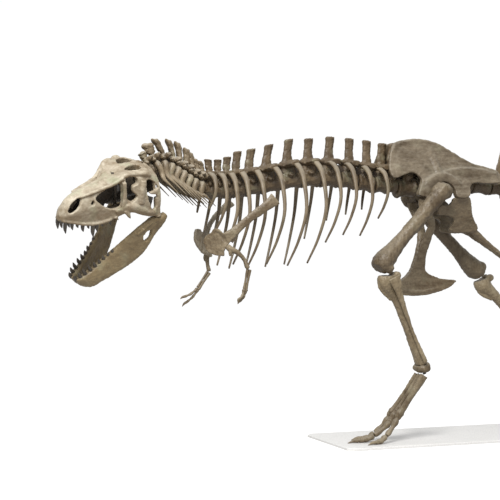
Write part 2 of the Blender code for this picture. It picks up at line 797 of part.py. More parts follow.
# The shoulder blade and coracoid: x, y, z, half thickness, half breadth.
SHOULDER_LINES = {
    LEFT: [
        (-2.290, -0.585, 2.765, 0.022, 0.068),
        (-2.370, -0.590, 2.700, 0.024, 0.048),
        (-2.610, -0.588, 2.525, 0.024, 0.034),
        (-2.745, -0.575, 2.400, 0.026, 0.045),
        (-2.805, -0.555, 2.330, 0.026, 0.090),
        (-2.890, -0.505, 2.275, 0.026, 0.120),
        (-2.955, -0.420, 2.250, 0.024, 0.115),
        (-2.985, -0.330, 2.240, 0.022, 0.075),
    ],
    RIGHT: [
        (-2.400, 0.585, 2.815, 0.022, 0.066),
        (-2.480, 0.590, 2.735, 0.024, 0.046),
        (-2.590, 0.585, 2.650, 0.024, 0.034),
        (-2.680, 0.560, 2.520, 0.026, 0.042),
        (-2.740, 0.520, 2.410, 0.026, 0.080),
        (-2.790, 0.450, 2.330, 0.026, 0.120),
        (-2.850, 0.350, 2.300, 0.024, 0.125),
        (-2.900, 0.255, 2.290, 0.022, 0.085),
    ],
}


def shoulder(side):
    name = "scapula_" + side_name(side)
    return finish(tube(name, SHOULDER_LINES[side], 6, across=(0.25, -side, 0.1)), name)


# The shoulder joint, the elbow and the wrist.
ARM_POINTS = {
    LEFT: ((-2.790, -0.585, 2.240), (-2.600, -0.640, 1.990), (-2.635, -0.615, 1.770)),
    RIGHT: ((-2.752, 0.545, 2.205), (-2.722, 0.520, 1.965), (-2.855, 0.470, 1.780)),
}
FINGER_TIPS = {
    LEFT: ((-2.735, -0.655, 1.640), (-2.720, -0.590, 1.615)),
    RIGHT: ((-3.080, 0.420, 1.655), (-3.035, 0.500, 1.565)),
}


def humerus(side):
    top, elbow, _ = (Vector(p) for p in ARM_POINTS[side])
    low = elbow + (top - elbow).normalized() * 0.006
    stations = [
        (*top, 0.030, 0.036), (*top.lerp(low, 0.14), 0.032, 0.044),
        (*top.lerp(low, 0.38), 0.023, 0.027), (*top.lerp(low, 0.68), 0.021, 0.021),
        (*top.lerp(low, 0.90), 0.034, 0.024), (*low, 0.028, 0.018),
    ]
    name = "humerus_" + side_name(side)
    return finish(tube(name, stations, 6, across=(0.3, 1, 0)), name)


def forearm_bone(side, bone):
    """The ulna behind, or the thinner radius in front of it."""
    _, elbow, wrist = (Vector(p) for p in ARM_POINTS[side])
    down = (wrist - elbow).normalized()
    across = down.cross(Vector((0, 1, 0))).normalized()
    if across.x < 0:
        across = -across
    place, thick = (0.018, 0.018) if bone == "ulna" else (-0.020, 0.014)
    start = elbow + down * 0.024 + across * place
    end = wrist + across * place * 0.85
    stations = [(*start, thick, thick * 0.95), (*start.lerp(end, 0.25), thick * 0.85, thick * 0.9),
                (*start.lerp(end, 0.7), thick * 0.7, thick * 0.75),
                (*end, thick * 0.9, thick * 0.9)]
    name = f"{bone}_{side_name(side)}"
    return finish(tube(name, stations, 6), name)


def hand(side):
    """The wrist, two metacarpals and two clawed fingers."""
    _, elbow, wrist = (Vector(p) for p in ARM_POINTS[side])
    down = (wrist - elbow).normalized()
    start = wrist + down * 0.006
    pieces = [tube("wrist", [(*start, 0.036, 0.020), (*(start + down * 0.03), 0.036, 0.022)], 4,
                   across=(1, 0, 0))]
    for spread, tip in zip((-1, 1), FINGER_TIPS[side]):
        tip = Vector(tip)
        root = start + down * 0.02 + Vector((spread * 0.012, 0, 0))
        knuckle = root.lerp(tip, 0.45) + Vector((0.012, 0, -0.006))
        joint = root.lerp(tip, 0.74) + Vector((0.006, 0, 0.0))
        pieces.append(tube("finger", [
            (*root, 0.014, 0.014), (*knuckle, 0.015, 0.015), (*joint, 0.012, 0.012),
            (*tip, 0.003, 0.003)], 4, across=(1, 0, 0)))
    name = "hand_" + side_name(side)
    return finish(fuse(name, pieces), name)


# ---------------------------------------------------------------- legs

KNEES = {LEFT: Vector((-0.940, -0.500, 2.085)), RIGHT: Vector((0.850, 0.440, 2.015))}
ANKLES = {LEFT: Vector((-0.390, -0.385, 0.895)), RIGHT: Vector((1.700, 0.420, 1.090))}
TOE_ROOTS = {LEFT: Vector((-0.700, -0.240, 0.255)), RIGHT: Vector((1.790, 0.375, 0.430))}


def femur(side):
    knee, hip = KNEES[side], hip_point(side)
    top = hip + Vector((-0.045, side * 0.140, 0.035))
    end = knee + (knee - top).normalized() * 0.105
    along = (end - top).normalized()
    r = FEMUR_RADIUS
    stations = [
        (*(top - along * 0.055), r * 0.80, r * 0.90), (*top, r * 1.10, r * 1.35),
        (*top.lerp(end, 0.16), r * 0.98, r * 1.22), (*top.lerp(end, 0.42), r * 0.98, r),
        (*top.lerp(end, 0.70), r * 1.02, r * 1.02), (*top.lerp(end, 0.87), r * 1.60, r * 1.45),
        (*top.lerp(end, 0.96), r * 1.65, r * 1.50), (*end, r * 1.20, r * 1.05),
    ]
    head = tube("head", [
        (*(top + Vector((0.03, 0, -0.035))), 0.085, 0.095),
        (*(hip + Vector((0, side * 0.030, 0))), 0.105, 0.105),
        (*(hip + Vector((0, -side * 0.050, 0))), 0.100, 0.100),
        (*(hip + Vector((0, -side * 0.085, 0))), 0.060, 0.060)], 8, across=(1, 0, 0))
    name = "femur_" + side_name(side)
    return finish(fuse(name, [tube("shaft", stations, 7), head]), name)


def shin_ends(side):
    """The top and the bottom of the shin bone's middle line."""
    knee, ankle = KNEES[side], ANKLES[side]
    down = (ankle - knee).normalized()
    return knee + down * 0.165, ankle - down * 0.015


def tibia(side):
    top, end = shin_ends(side)
    crest = Vector((-0.035, 0, -0.02))
    stations = [
        (*(top + crest * 0.4), 0.085, 0.125), (*(top.lerp(end, 0.06) + crest), 0.100, 0.150),
        (*(top.lerp(end, 0.16) + crest), 0.080, 0.105), (*top.lerp(end, 0.32), 0.066, 0.072),
        (*top.lerp(end, 0.65), 0.060, 0.062), (*top.lerp(end, 0.88), 0.078, 0.066),
        (*end, 0.110, 0.066),
    ]
    name = "tibia_" + side_name(side)
    return finish(tube(name, stations, 7), name)


def fibula(side):
    top, end = shin_ends(side)
    out = Vector((0, side, 0))
    stations = [
        (*(top.lerp(end, 0.03) + out * 0.134), 0.020, 0.085),
        (*(top.lerp(end, 0.12) + out * 0.130), 0.022, 0.060),
        (*(top.lerp(end, 0.30) + out * 0.106), 0.020, 0.030),
        (*(top.lerp(end, 0.65) + out * 0.090), 0.016, 0.018),
        (*(top.lerp(end, 0.980) + out * 0.136), 0.018, 0.026),
    ]
    name = "fibula_" + side_name(side)
    return finish(tube(name, stations, 5), name)


def ankle_bone(side):
    """The ankle's roller, which caps the shin bone."""
    _, end = shin_ends(side)
    down = (ANKLES[side] - KNEES[side]).normalized()
    start = end + down * 0.010
    stations = [
        (*start, 0.115, 0.078), (*(start + down * 0.030), 0.132, 0.098),
        (*(start + down * 0.070), 0.125, 0.090), (*(start + down * 0.095), 0.085, 0.050),
    ]
    name = "ankle_" + side_name(side)
    return finish(tube(name, stations, 7), name)


def foot_frame(side):
    """Where the three long foot bones start, and their directions down and outwards."""
    _, end = shin_ends(side)
    down = (ANKLES[side] - KNEES[side]).normalized()
    start = end + down * 0.155
    if side == LEFT:
        start += Vector((-0.055, 0, 0.0))
    return start, (TOE_ROOTS[side] - start).normalized(), Vector((0, side, 0))


FOOT_SPREAD = {"inner": -1, "middle": 0, "outer": 1}
TOE_SPACING = 0.098


def foot_bone_end(side, k):
    _, down, out = foot_frame(side)
    return TOE_ROOTS[side] + out * k * TOE_SPACING - down * (0.0 if k == 0 else 0.050)


def foot_bone(side, which):
    """One of the three long bones between the ankle and the toes."""
    start, down, out = foot_frame(side)
    k = FOOT_SPREAD[which]
    root = foot_bone_end(side, k)
    top = start + out * k * 0.074
    thick = 0.034 if k else 0.033
    deep = 0.052 if k else 0.046
    stations = [
        (*top, thick, deep * 1.15), (*top.lerp(root, 0.12), thick, deep * 1.1),
        (*(top.lerp(root, 0.50) + out * k * 0.004), thick * 0.92, deep * 0.80),
        (*top.lerp(root, 0.84), thick * 1.05, deep * 0.80),
        (*top.lerp(root, 0.95), 0.046, deep * 1.05), (*root, 0.040, deep * 0.70),
    ]
    name = f"foot_bone_{which}_{side_name(side)}"
    return finish(tube(name, stations, 5), name)


# Each toe's middle line: metres ahead of the toe root, and height above the floor.
TOE_LINES = {
    LEFT: [(0.030, 0.215), (0.110, 0.155), (0.215, 0.090), (0.325, 0.040), (0.400, 0.026),
           (0.480, 0.032), (0.575, 0.006)],
    RIGHT: [(0.012, 0.375), (0.085, 0.250), (0.190, 0.125), (0.310, 0.042), (0.385, 0.027),
            (0.470, 0.032), (0.550, 0.006)],
}
TOE_TURNS = {"inner": -14, "middle": 0, "outer": 14}
TOE_SIZES = {"inner": 0.82, "middle": 1.0, "outer": 0.80}
TOE_SECTIONS = [0.040, 0.034, 0.038, 0.038, 0.030, 0.024, 0.004]


def toe(side, which):
    """A toe with its claw, cut flat where it stands on the floor."""
    k = FOOT_SPREAD[which]
    root = foot_bone_end(side, k)
    size = TOE_SIZES[which]
    turn = math.radians(TOE_TURNS[which])
    ahead = Vector((-math.cos(turn), side * math.sin(turn), 0))
    lift = root.z - TOE_ROOTS[side].z
    stations = []
    for n, ((reach, height), thick) in enumerate(zip(TOE_LINES[side], TOE_SECTIONS)):
        point = Vector((root.x, root.y, 0)) + ahead * reach * size
        point.z = height + lift * max(0.0, 1 - n / 3)
        stations.append((*point, thick * 1.10, thick))
    name = f"toe_{which}_{side_name(side)}"
    body = tube(name, stations, 5, first_corner=0.25)
    floor = slab("floor", [(-3, -0.5), (3, -0.5), (3, 0.0), (-3, 0.0)], -2, 2)
    return finish(cut(body, [floor]), name)


# ---------------------------------------------------------------- the mount's joint pads

def pad(name, start, end, radius):
    """A dark pad of the mount in the air of a joint."""
    body = tube(name, [(*start, radius, radius), (*end, radius, radius)], 8)
    return finish(body, name, ("steel", STEEL_LOOK))


def ankle_pad(side):
    """The pad between the ankle's roller and the middle long bone of the foot."""
    down = (ANKLES[side] - KNEES[side]).normalized()
    low = shin_ends(side)[1] + down * (0.128 if side == LEFT else 0.107)
    pad("ankle_pad_" + side_name(side), low, low + down * 0.012, 0.022)


# ---------------------------------------------------------------- the base under the feet

BASE_FRONT, BASE_REAR = -1.42, 1.88
BASE_LEFT, BASE_RIGHT = -0.62, 0.66
BASE_CORNER = 0.08                       # how much of each corner is cut off
BASE_BEVEL = 0.006                       # the upper edge's bevel


def base_outline(inset):
    """The base's edge seen from above, moved inwards by inset."""
    front, rear = BASE_FRONT + inset, BASE_REAR - inset
    low, high = BASE_LEFT + inset, BASE_RIGHT - inset
    c = BASE_CORNER
    return [(front + c, low), (rear - c, low), (rear, low + c), (rear, high - c),
            (rear - c, high), (front + c, high), (front, high - c), (front, low + c)]


def stand_base():
    """The flat base that keeps the skeleton from falling over."""
    top = -2 * GAP
    rings = [[(x, y, z) for x, y in base_outline(inset)]
             for z, inset in ((-BASE_HEIGHT, 0.0), (top - BASE_BEVEL, 0.0), (top, BASE_BEVEL))]
    body = skin("stand_base", [[Vector(corner) for corner in ring] for ring in rings])
    return finish(body, "stand_base", ("board", BOARD_LOOK))


# ---------------------------------------------------------------- the whole skeleton

def build():
    clear_scene()
    stand_base()
    skull()
    jaw(1.0)
    jaw(-1.0)
    neck_part("neck_front", 0, 5)
    neck_part("neck_rear", 5, NECK_BONES)
    sacrum()
    pubis()
    for name, (first, last) in TAIL_PARTS.items():
        tail_part(name, first, last)
    for side in (LEFT, RIGHT):
        rib_cage(side)
        ilium(side)
        ischium(side)
        shoulder(side)
        humerus(side)
        forearm_bone(side, "ulna")
        forearm_bone(side, "radius")
        hand(side)
        femur(side)
        tibia(side)
        fibula(side)
        ankle_bone(side)
        ankle_pad(side)
        for which in FOOT_SPREAD:
            foot_bone(side, which)
            toe(side, which)
    for item in bpy.data.objects:
        item.data.transform(Matrix.Translation(-BOX_MIDDLE))


build()
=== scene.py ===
"""The looks of a mounted tyrannosaur skeleton: bones, teeth, discs, floor, light, camera."""
import math

import bmesh
import bpy
from mathutils import Matrix, Vector


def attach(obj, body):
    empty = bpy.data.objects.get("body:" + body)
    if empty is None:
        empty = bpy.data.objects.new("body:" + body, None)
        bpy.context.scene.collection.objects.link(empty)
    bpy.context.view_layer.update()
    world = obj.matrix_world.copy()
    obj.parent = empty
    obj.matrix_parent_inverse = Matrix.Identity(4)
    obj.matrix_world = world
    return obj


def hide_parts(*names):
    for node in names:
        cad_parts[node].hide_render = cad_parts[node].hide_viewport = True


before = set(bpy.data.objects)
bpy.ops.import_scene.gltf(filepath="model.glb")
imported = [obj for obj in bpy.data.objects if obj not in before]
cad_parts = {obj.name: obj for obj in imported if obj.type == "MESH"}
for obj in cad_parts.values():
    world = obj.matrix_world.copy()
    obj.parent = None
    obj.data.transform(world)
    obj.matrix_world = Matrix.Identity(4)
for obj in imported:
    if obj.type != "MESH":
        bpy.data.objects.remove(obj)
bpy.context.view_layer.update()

LEFT, RIGHT = -1.0, 1.0
WORDS = {LEFT: "left", RIGHT: "right"}
UP = Vector((0, 0, 1))
# Directions to measure a form's width along.
ACROSS_X, ACROSS_Y = (1, 0, 0), (0, 1, 0)
# Bones are placed in a body frame whose zero is under the feet, straight below the hips.
# At the end each is moved so that the middle of the part's box is at X = 0, Y = 0.
BASE_HEIGHT = 0.030
BOX_MIDDLE = Vector((0.7832, -0.1772, -BASE_HEIGHT))
# No ring of a form is narrower than this, from its middle.
LEAST_HALF = 0.0005


# ---------------------------------------------------------------- working on meshes

def deselect():
    if bpy.context.object and bpy.context.object.mode != "OBJECT":
        bpy.ops.object.mode_set(mode="OBJECT")
    bpy.ops.object.select_all(action="DESELECT")


def pick(item):
    deselect()
    item.select_set(True)
    bpy.context.view_layer.objects.active = item


def apply_all(item):
    """Applies an object's modifiers in their order."""
    pick(item)
    for step in list(item.modifiers):
        bpy.ops.object.modifier_apply(modifier=step.name)


def join(items):
    pick(items[0])
    for item in items[1:]:
        item.select_set(True)
    if len(items) > 1:
        bpy.ops.object.join()
    return bpy.context.view_layer.objects.active


def tangents(points):
    found = []
    for i in range(len(points)):
        before = points[max(i - 1, 0)]
        after = points[min(i + 1, len(points) - 1)]
        found.append((after - before).normalized())
    return found


def curve_through(rows, count, closed=False):
    """count rows of numbers along a smooth curve through the given ones."""
    if closed:
        padded = [rows[-1], *rows, rows[0], rows[1]]
        spans = len(rows)
    else:
        first = [2 * a - b for a, b in zip(rows[0], rows[1])]
        last = [2 * a - b for a, b in zip(rows[-1], rows[-2])]
        padded = [first, *rows, last]
        spans = len(rows) - 1
    found = []
    for n in range(count):
        place = n * spans / (count if closed else count - 1)
        k = min(int(place), spans - 1)
        t = place - k
        found.append(tuple(
            0.5 * (2 * b + (c - a) * t + (2 * a - 5 * b + 4 * c - d) * t * t
                   + (3 * b - a - 3 * c + d) * t ** 3)
            for a, b, c, d in zip(*padded[k:k + 4])))
    return found


def row_at(sections, place):
    """The row of numbers at a place between two sections, or None beyond the last."""
    for low, high in zip(sections, sections[1:]):
        if low[0] <= place <= high[0]:
            share = (place - low[0]) / (high[0] - low[0])
            return [a + (b - a) * share for a, b in zip(low, high)]
    return None


def clamped(*shares):
    """The least of the shares, kept between 0 and 1."""
    return max(0.0, min(1.0, *shares))


def blend(low, high, share):
    """From low to high as share goes from 0 to 1, slow at both ends."""
    share = clamped(share)
    return low + (high - low) * share * share * (3 - 2 * share)


def disc(corners):
    """A flat disc to extrude a form from, left in edit mode."""
    deselect()
    bpy.ops.mesh.primitive_circle_add(vertices=corners, radius=1.0, fill_type="NGON")
    item = bpy.context.object
    bpy.ops.object.mode_set(mode="EDIT")
    return item


def close_form(item):
    """Leaves edit mode with the faces of a closed form pointing outwards."""
    bpy.ops.mesh.select_all(action="SELECT")
    bpy.ops.mesh.normals_make_consistent(inside=False)
    bpy.ops.object.mode_set(mode="OBJECT")
    return item


def bone_run(stations, sides=10, across=ACROSS_Y, fine=0):
    """A form extruded ring by ring along stations: x, y, z, half width along across, half
    depth. With fine, that many rings lie on the smooth curve through them."""
    if fine:
        stations = curve_through(stations, fine)
    points = [Vector(station[:3]) for station in stations]
    item = disc(sides)
    last = (Vector(), Vector((1, 0, 0)), Vector((0, 1, 0)))
    for n, (point, along) in enumerate(zip(points, tangents(points))):
        wide = Vector(across)
        wide = (wide - along * wide.dot(along)).normalized()
        deep = along.cross(wide) * max(stations[n][4], LEAST_HALF)
        wide = wide * max(stations[n][3], LEAST_HALF)
        if n:
            bpy.ops.mesh.extrude_region_move()
        bm = bmesh.from_edit_mesh(item.data)
        for vert in bm.verts:
            if vert.select:
                arm = vert.co - last[0]
                u = arm.dot(last[1]) / last[1].length_squared
                v = arm.dot(last[2]) / last[2].length_squared
                vert.co = point + wide * u + deep * v
        bmesh.update_edit_mesh(item.data)
        last = (point, wide, deep)
    return close_form(item)


def rings_form(rings):
    """A form extruded from a disc, whose rings of points are given."""
    item = disc(len(rings[0]))
    bm = bmesh.from_edit_mesh(item.data)
    bm.verts.ensure_lookup_table()
    current = list(bm.verts)
    for vert, point in zip(current, rings[0]):
        vert.co = point
    for n in range(1, len(rings)):
        before = [Vector(vert.co) for vert in current]
        bpy.ops.mesh.extrude_region_move()
        bm = bmesh.from_edit_mesh(item.data)
        picked = [vert for vert in bm.verts if vert.select]
        order = {}
        for vert in picked:
            nearest = min(range(len(before)), key=lambda k: (before[k] - vert.co).length_squared)
            order[nearest] = vert
        current = [order[k] for k in range(len(before))]
        for vert, point in zip(current, rings[n]):
            vert.co = point
        bmesh.update_edit_mesh(item.data)
    return close_form(item)


def slab(outline, low, high, fine=0):
    """An outline in X and Z, made solid from low to high in Y. low and high are numbers,
    or functions of Z. With fine, the outline is drawn through with that many points."""
    if fine:
        outline = curve_through(outline, fine, closed=True)

    def at(side, z):
        return side(z) if callable(side) else side

    return rings_form([[Vector((x, at(side, z), z)) for x, z in outline]
                       for side in (low, high)])


def knob(centre, sizes, turn=None):
    """A rounded lump: an icosphere squashed to its half sizes."""
    deselect()
    bpy.ops.mesh.primitive_ico_sphere_add(subdivisions=3, radius=1.0)
    item = bpy.context.object
    place = Matrix.Translation(Vector(centre))
    if turn:
        place = place @ turn
    item.data.transform(place @ Matrix.Diagonal((*sizes, 1.0)))
    return item


def carve(body, cutters):
    """Takes the cutters away from a body."""
    for cutter in cutters:
        step = body.modifiers.new("carve", "BOOLEAN")
        step.operation = "DIFFERENCE"
        step.solver = "EXACT"
        step.object = cutter
    apply_all(body)
    for cutter in cutters:
        bpy.data.objects.remove(cutter, do_unlink=True)
    return body


# How each kind of bone is worn: voxel size, rounds of smoothing, relief, grain, and the
# share of its faces to keep.
WEAR = {
    "trunk": (0.0065, 3, 0.014, 0.03, 0.55), "neck": (0.0055, 3, 0.016, 0.025, 0.5),
    "tail": (0.0065, 3, 0.008, 0.03, 0.4), "ilium": (0.009, 10, 0.012, 0.06, 0.7),
    "hip": (0.008, 4, 0.012, 0.03, 0.7), "pubis": (0.008, 4, 0.014, 0.03, 0.7),
    "skull": (0.0075, 5, 0.008, 0.05, 0.7), "jaw": (0.007, 3, 0.010, 0.03, 0.7),
    "shoulder": (0.006, 3, 0.012, 0.03, 0.7), "upper arm": (0.004, 3, 0.006, 0.02, 0.8),
    "forearm": (0.003, 2, 0.004, 0.02, 0.8), "hand": (0.0025, 1, 0.0, 0.03, 1.0),
    "thigh": (0.009, 6, 0.016, 0.04, 0.8), "shin": (0.008, 6, 0.014, 0.04, 0.8),
    "calf": (0.006, 3, 0.010, 0.03, 0.8), "ankle": (0.006, 4, 0.008, 0.03, 0.8),
    "foot": (0.0055, 3, 0.009, 0.03, 0.7), "toe": (0.0045, 2, 0.006, 0.03, 0.7),
}
# The layers of a rough face: grain and depth, as shares of the bone's own.
ROUGH_LAYERS = (("swell", 4.0, 1.0), ("pit", 1.0, 0.7), ("crack", 0.4, 0.35))


def worn(parts, kind):
    """Melts the forms of one bone together: joined, remeshed, smoothed, given a rough face
    and thinned."""
    voxel, rounds, relief, grain, keep = WEAR[kind]
    item = join(parts)
    step = item.modifiers.new("melt", "REMESH")
    step.mode = "VOXEL"
    step.voxel_size = voxel
    step = item.modifiers.new("wear", "SMOOTH")
    step.factor = 0.5
    step.iterations = rounds
    if relief:
        for name, size, depth in ROUGH_LAYERS:
            texture = bpy.data.textures.new(name, "CLOUDS")
            texture.noise_scale = grain * size
            texture.noise_depth = 3
            step = item.modifiers.new(name, "DISPLACE")
            step.texture = texture
            step.texture_coords = "LOCAL"
            step.mid_level = 0.5
            step.strength = relief * depth
    if keep < 1.0:
        step = item.modifiers.new("thin", "DECIMATE")
        step.ratio = keep
    apply_all(item)
    return item


def finish(name, item, material, *nodes):
    """Names a finished piece, moves its mesh to its place and fits it to the frame."""
    item.name = name
    item.data.name = name
    item.data.transform(Matrix.Translation(-BOX_MIDDLE))
    item.data.materials.clear()
    item.data.materials.append(material)
    pick(item)
    bpy.ops.object.shade_smooth()
    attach(item, "root")
    if nodes:
        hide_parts(*nodes)


def finish_bone(node, parts, kind, material, ending="_bone"):
    """Wears and finishes the bone that takes the place of one node of the frame."""
    finish(node + ending, worn(parts, kind), material, node)


# ---------------------------------------------------------------- finishes

# The scale, detail and roughness of each noise in a bone's face.
PATCHES, MOTTLE, FINE = (2.6, 3, 0.55), (15.0, 6, 0.68), (85.0, 4, 0.7)
# The long streaks are partly grain and partly painted satin highlights along each bone.
STAINS, GRAIN_AND_HIGHLIGHT_STREAKS = (5.5, 3, 0.55), (26.0, 4, 0.6)
STAIN_TINT = (0.36, 0.37, 0.25, 1.0)
EDGE_TINT = (0.42, 0.37, 0.29, 1.0)
# The pale tint of painted top light, partly dust, on up-facing faces.
TOP_LIGHT_AND_DUST_TINT = (0.52, 0.48, 0.40, 1.0)
BUMP_DEPTH = 0.008
SHINE = 0.45


def feed(tree, socket, given):
    """Wires a socket to another, or sets it to a number or a colour."""
    if isinstance(given, bpy.types.NodeSocket):
        tree.links.new(given, socket)
    else:
        socket.default_value = given


def noise(tree, vector, scale, detail, rough):
    node = tree.nodes.new("ShaderNodeTexNoise")
    for label, given in (("Vector", vector), ("Scale", scale), ("Detail", detail),
                         ("Roughness", rough)):
        feed(tree, node.inputs[label], given)
    return node.outputs["Fac"]


def ramp(tree, value, stops):
    """A value through a grey ramp of (place, level) stops."""
    node = tree.nodes.new("ShaderNodeValToRGB")
    for mark, (place, level) in zip(node.color_ramp.elements, stops):
        mark.position = place
        mark.color = (level, level, level, 1.0)
    feed(tree, node.inputs["Fac"], value)
    return node.outputs["Color"]


def mixed(tree, how, share, low, high):
    """Two colours mixed. Each part is a socket, a number or a colour."""
    node = tree.nodes.new("ShaderNodeMix")
    node.data_type = "RGBA"
    node.blend_type = how
    sockets = [node.inputs[0]] + [s for s in node.inputs if s.type == "RGBA"]
    for socket, given in zip(sockets, (share, low, high)):
        feed(tree, socket, given)
    return [s for s in node.outputs if s.type == "RGBA"][0]


def maths(tree, how, low, high):
    node = tree.nodes.new("ShaderNodeMath")
    node.operation = how
    for socket, given in zip(node.inputs, (low, high)):
        feed(tree, socket, given)
    return node.outputs["Value"]


def weighed(tree, first, *others):
    """The sum of values, each given with its weight."""
    total = maths(tree, "MULTIPLY", *first)
    for pair in others:
        total = maths(tree, "ADD", total, maths(tree, "MULTIPLY", *pair))
    return total


def new_group(name, inputs, outputs):
    tree = bpy.data.node_groups.new(name, "ShaderNodeTree")
    for in_out, sockets in (("INPUT", inputs), ("OUTPUT", outputs)):
        for label, kind in sockets:
            tree.interface.new_socket(label, in_out=in_out, socket_type="NodeSocket" + kind)
    return tree, tree.nodes.new("NodeGroupInput"), tree.nodes.new("NodeGroupOutput")


def bare_colour(tree, given, place, mottle, fine):
    """The two browns in patches and long streaks, the streaks partly grain and partly painted satin
    highlights, with fine dark specks.
    """
    long = tree.nodes.new("ShaderNodeMapping")
    feed(tree, long.inputs["Vector"], place)
    feed(tree, long.inputs["Scale"], given["Stretch"])
    both = weighed(tree, (noise(tree, place, *PATCHES), 0.40), (mottle, 0.25),
                   (noise(tree, long.outputs["Vector"], *GRAIN_AND_HIGHLIGHT_STREAKS), 0.35))
    share = ramp(tree, both, [(0.38, 0.0), (0.60, 1.0)])
    colour = mixed(tree, "MIX", share, given["Deep"], given["Pale"])
    specks = ramp(tree, fine, [(0.30, 0.62), (0.52, 1.0)])
    return mixed(tree, "MULTIPLY", 0.55, colour, specks)


def aged_colour(tree, given, place, colour):
    """A colour with painted shade in its hollows, pale worn edges, stains, paler tops from painted
    top light and dust, and painted shade on its undersides.
    """
    geometry = tree.nodes.new("ShaderNodeNewGeometry")
    bend = geometry.outputs["Pointiness"]
    # Painted shade: where the face bends inwards, in creases and hollows, the colour is darkened.
    hollow = ramp(tree, bend, [(0.40, 0.35), (0.50, 1.0)])
    colour = mixed(tree, "MULTIPLY", 0.75, colour, hollow)
    edges = ramp(tree, bend, [(0.56, 0.0), (0.75, 0.30)])
    colour = mixed(tree, "MIX", edges, colour, EDGE_TINT)
    split = tree.nodes.new("ShaderNodeSeparateXYZ")
    feed(tree, split.inputs["Vector"], geometry.outputs["Normal"])
    slope = split.outputs["Z"]
    # By the face's slope: up-facing faces turn paler, which is painted top light and partly dust;
    # down-facing faces turn to the deep brown, which is painted shade beneath.
    for value, stops, amount, tint in (
            (noise(tree, place, *STAINS), [(0.55, 0.0), (0.68, 1.0)], "Stained", STAIN_TINT),
            (slope, [(0.25, 0.0), (0.95, 1.0)], "Top light and dust", TOP_LIGHT_AND_DUST_TINT),
            (maths(tree, "SUBTRACT", 0.0, slope), [(0.0, 0.0), (0.75, 1.0)], "Underside shade",
             given["Deep"])):
        share = maths(tree, "MULTIPLY", ramp(tree, value, stops), given[amount])
        colour = mixed(tree, "MIX", share, colour, tint)
    return colour


def fossil_group():
    """Old mineral bone: its colour, how rough it is, and the height of its face."""
    tree, start, end = new_group(
        "fossil_bone",
        [("Pale", "Color"), ("Deep", "Color"), ("Stained", "Float"), ("Top light and dust", "Float"),
         ("Underside shade", "Float"), ("Stretch", "Vector")],
        [("Color", "Color"), ("Roughness", "Float"), ("Height", "Float")])
    given = start.outputs
    place = tree.nodes.new("ShaderNodeTexCoord").outputs["Object"]
    mottle = noise(tree, place, *MOTTLE)
    fine = noise(tree, place, *FINE)
    colour = aged_colour(tree, given, place, bare_colour(tree, given, place, mottle, fine))
    rough = maths(tree, "ADD", maths(tree, "MULTIPLY", mottle, 0.30), 0.30)
    height = weighed(tree, (mottle, 0.65), (fine, 0.35))
    for label, value in (("Color", colour), ("Roughness", rough), ("Height", height)):
        feed(tree, end.inputs[label], value)
    return tree


FOSSIL = fossil_group()


def fossil(name, pale, deep, stained, top_light_and_dust, underside_shade=0.5, bump=0.5, stretch=(1.0, 1.0, 0.16)):
    """A bone finish: its two browns, how stained it is, how much painted top light and dust
    pale its tops, how much painted shade darkens its undersides, how rough it is, and how
    its streaks, partly painted satin highlights, are drawn out."""
    material = bpy.data.materials.new(name)
    material.use_nodes = True
    tree = material.node_tree
    group = tree.nodes.new("ShaderNodeGroup")
    group.node_tree = FOSSIL
    for label, value in (("Pale", (*pale, 1.0)), ("Deep", (*deep, 1.0)),
                         ("Stained", stained), ("Top light and dust", top_light_and_dust), ("Underside shade", underside_shade),
                         ("Stretch", stretch)):
        feed(tree, group.inputs[label], value)
    swell = tree.nodes.new("ShaderNodeBump")
    feed(tree, swell.inputs["Strength"], bump)
    feed(tree, swell.inputs["Distance"], BUMP_DEPTH)
    feed(tree, swell.inputs["Height"], group.outputs["Height"])
    shader = tree.nodes["Principled BSDF"]
    for label, value in (("Base Color", group.outputs["Color"]),
                         ("Roughness", group.outputs["Roughness"]),
                         ("Normal", swell.outputs["Normal"]), ("Specular IOR Level", SHINE)):
        feed(tree, shader.inputs[label], value)
    return material


# After its two browns, each finish gives how stained it is, how much painted top light and dust
# pales its tops, and how much painted shade darkens its undersides.
SKULL_BONE = fossil("skull_bone", (0.56, 0.50, 0.39), (0.19, 0.132, 0.072), 0.65, 0.15, 1.0,
                    stretch=(0.35, 0.6, 0.6))
JAW_BONE = fossil("jaw_bone", (0.30, 0.228, 0.122), (0.14, 0.096, 0.046), 0.3, 0.10,
                  stretch=(0.4, 0.6, 0.4))
LIMB_BONE = fossil("limb_bone", (0.25, 0.198, 0.126), (0.092, 0.061, 0.030), 0.1, 0.25, 0.75)
THIGH_BONE = fossil("thigh_bone", (0.215, 0.168, 0.106), (0.072, 0.047, 0.023), 0.1, 0.20, 0.75)
SHIN_BONE = fossil("shin_bone", (0.32, 0.258, 0.165), (0.135, 0.094, 0.048), 0.1, 0.25, 0.6)
SPINE_BONE = fossil("spine_bone", (0.160, 0.115, 0.066), (0.064, 0.041, 0.021), 0.25, 0.08, 0.85)
NECK_BONE = fossil("neck_bone", (0.29, 0.228, 0.148), (0.075, 0.050, 0.026), 0.3, 0.60, 0.95)
RIB_BONE = fossil("rib_bone", (0.215, 0.166, 0.106), (0.085, 0.058, 0.031), 0.1, 0.40)
# The hip bones' streaks are drawn out along X: painted satin highlights along the blades.
HIP_BONE = fossil("hip_bone", (0.240, 0.190, 0.122), (0.088, 0.057, 0.028), 0.1, 0.30, 0.6,
                  stretch=(0.22, 1.0, 0.8))
ILIUM_BONE = fossil("ilium_bone", (0.21, 0.170, 0.118), (0.062, 0.041, 0.021), 0.1, 0.40, 0.85,
                    stretch=(0.18, 1.0, 0.9))
# A paler finish for the right shoulder alone: painted light, as if that shoulder were lit more than
# the left one.
PAINTED_LIGHT_PLATE_BONE = fossil("painted_light_plate_bone", (0.36, 0.32, 0.245), (0.16, 0.118, 0.070), 0.2, 0.30)
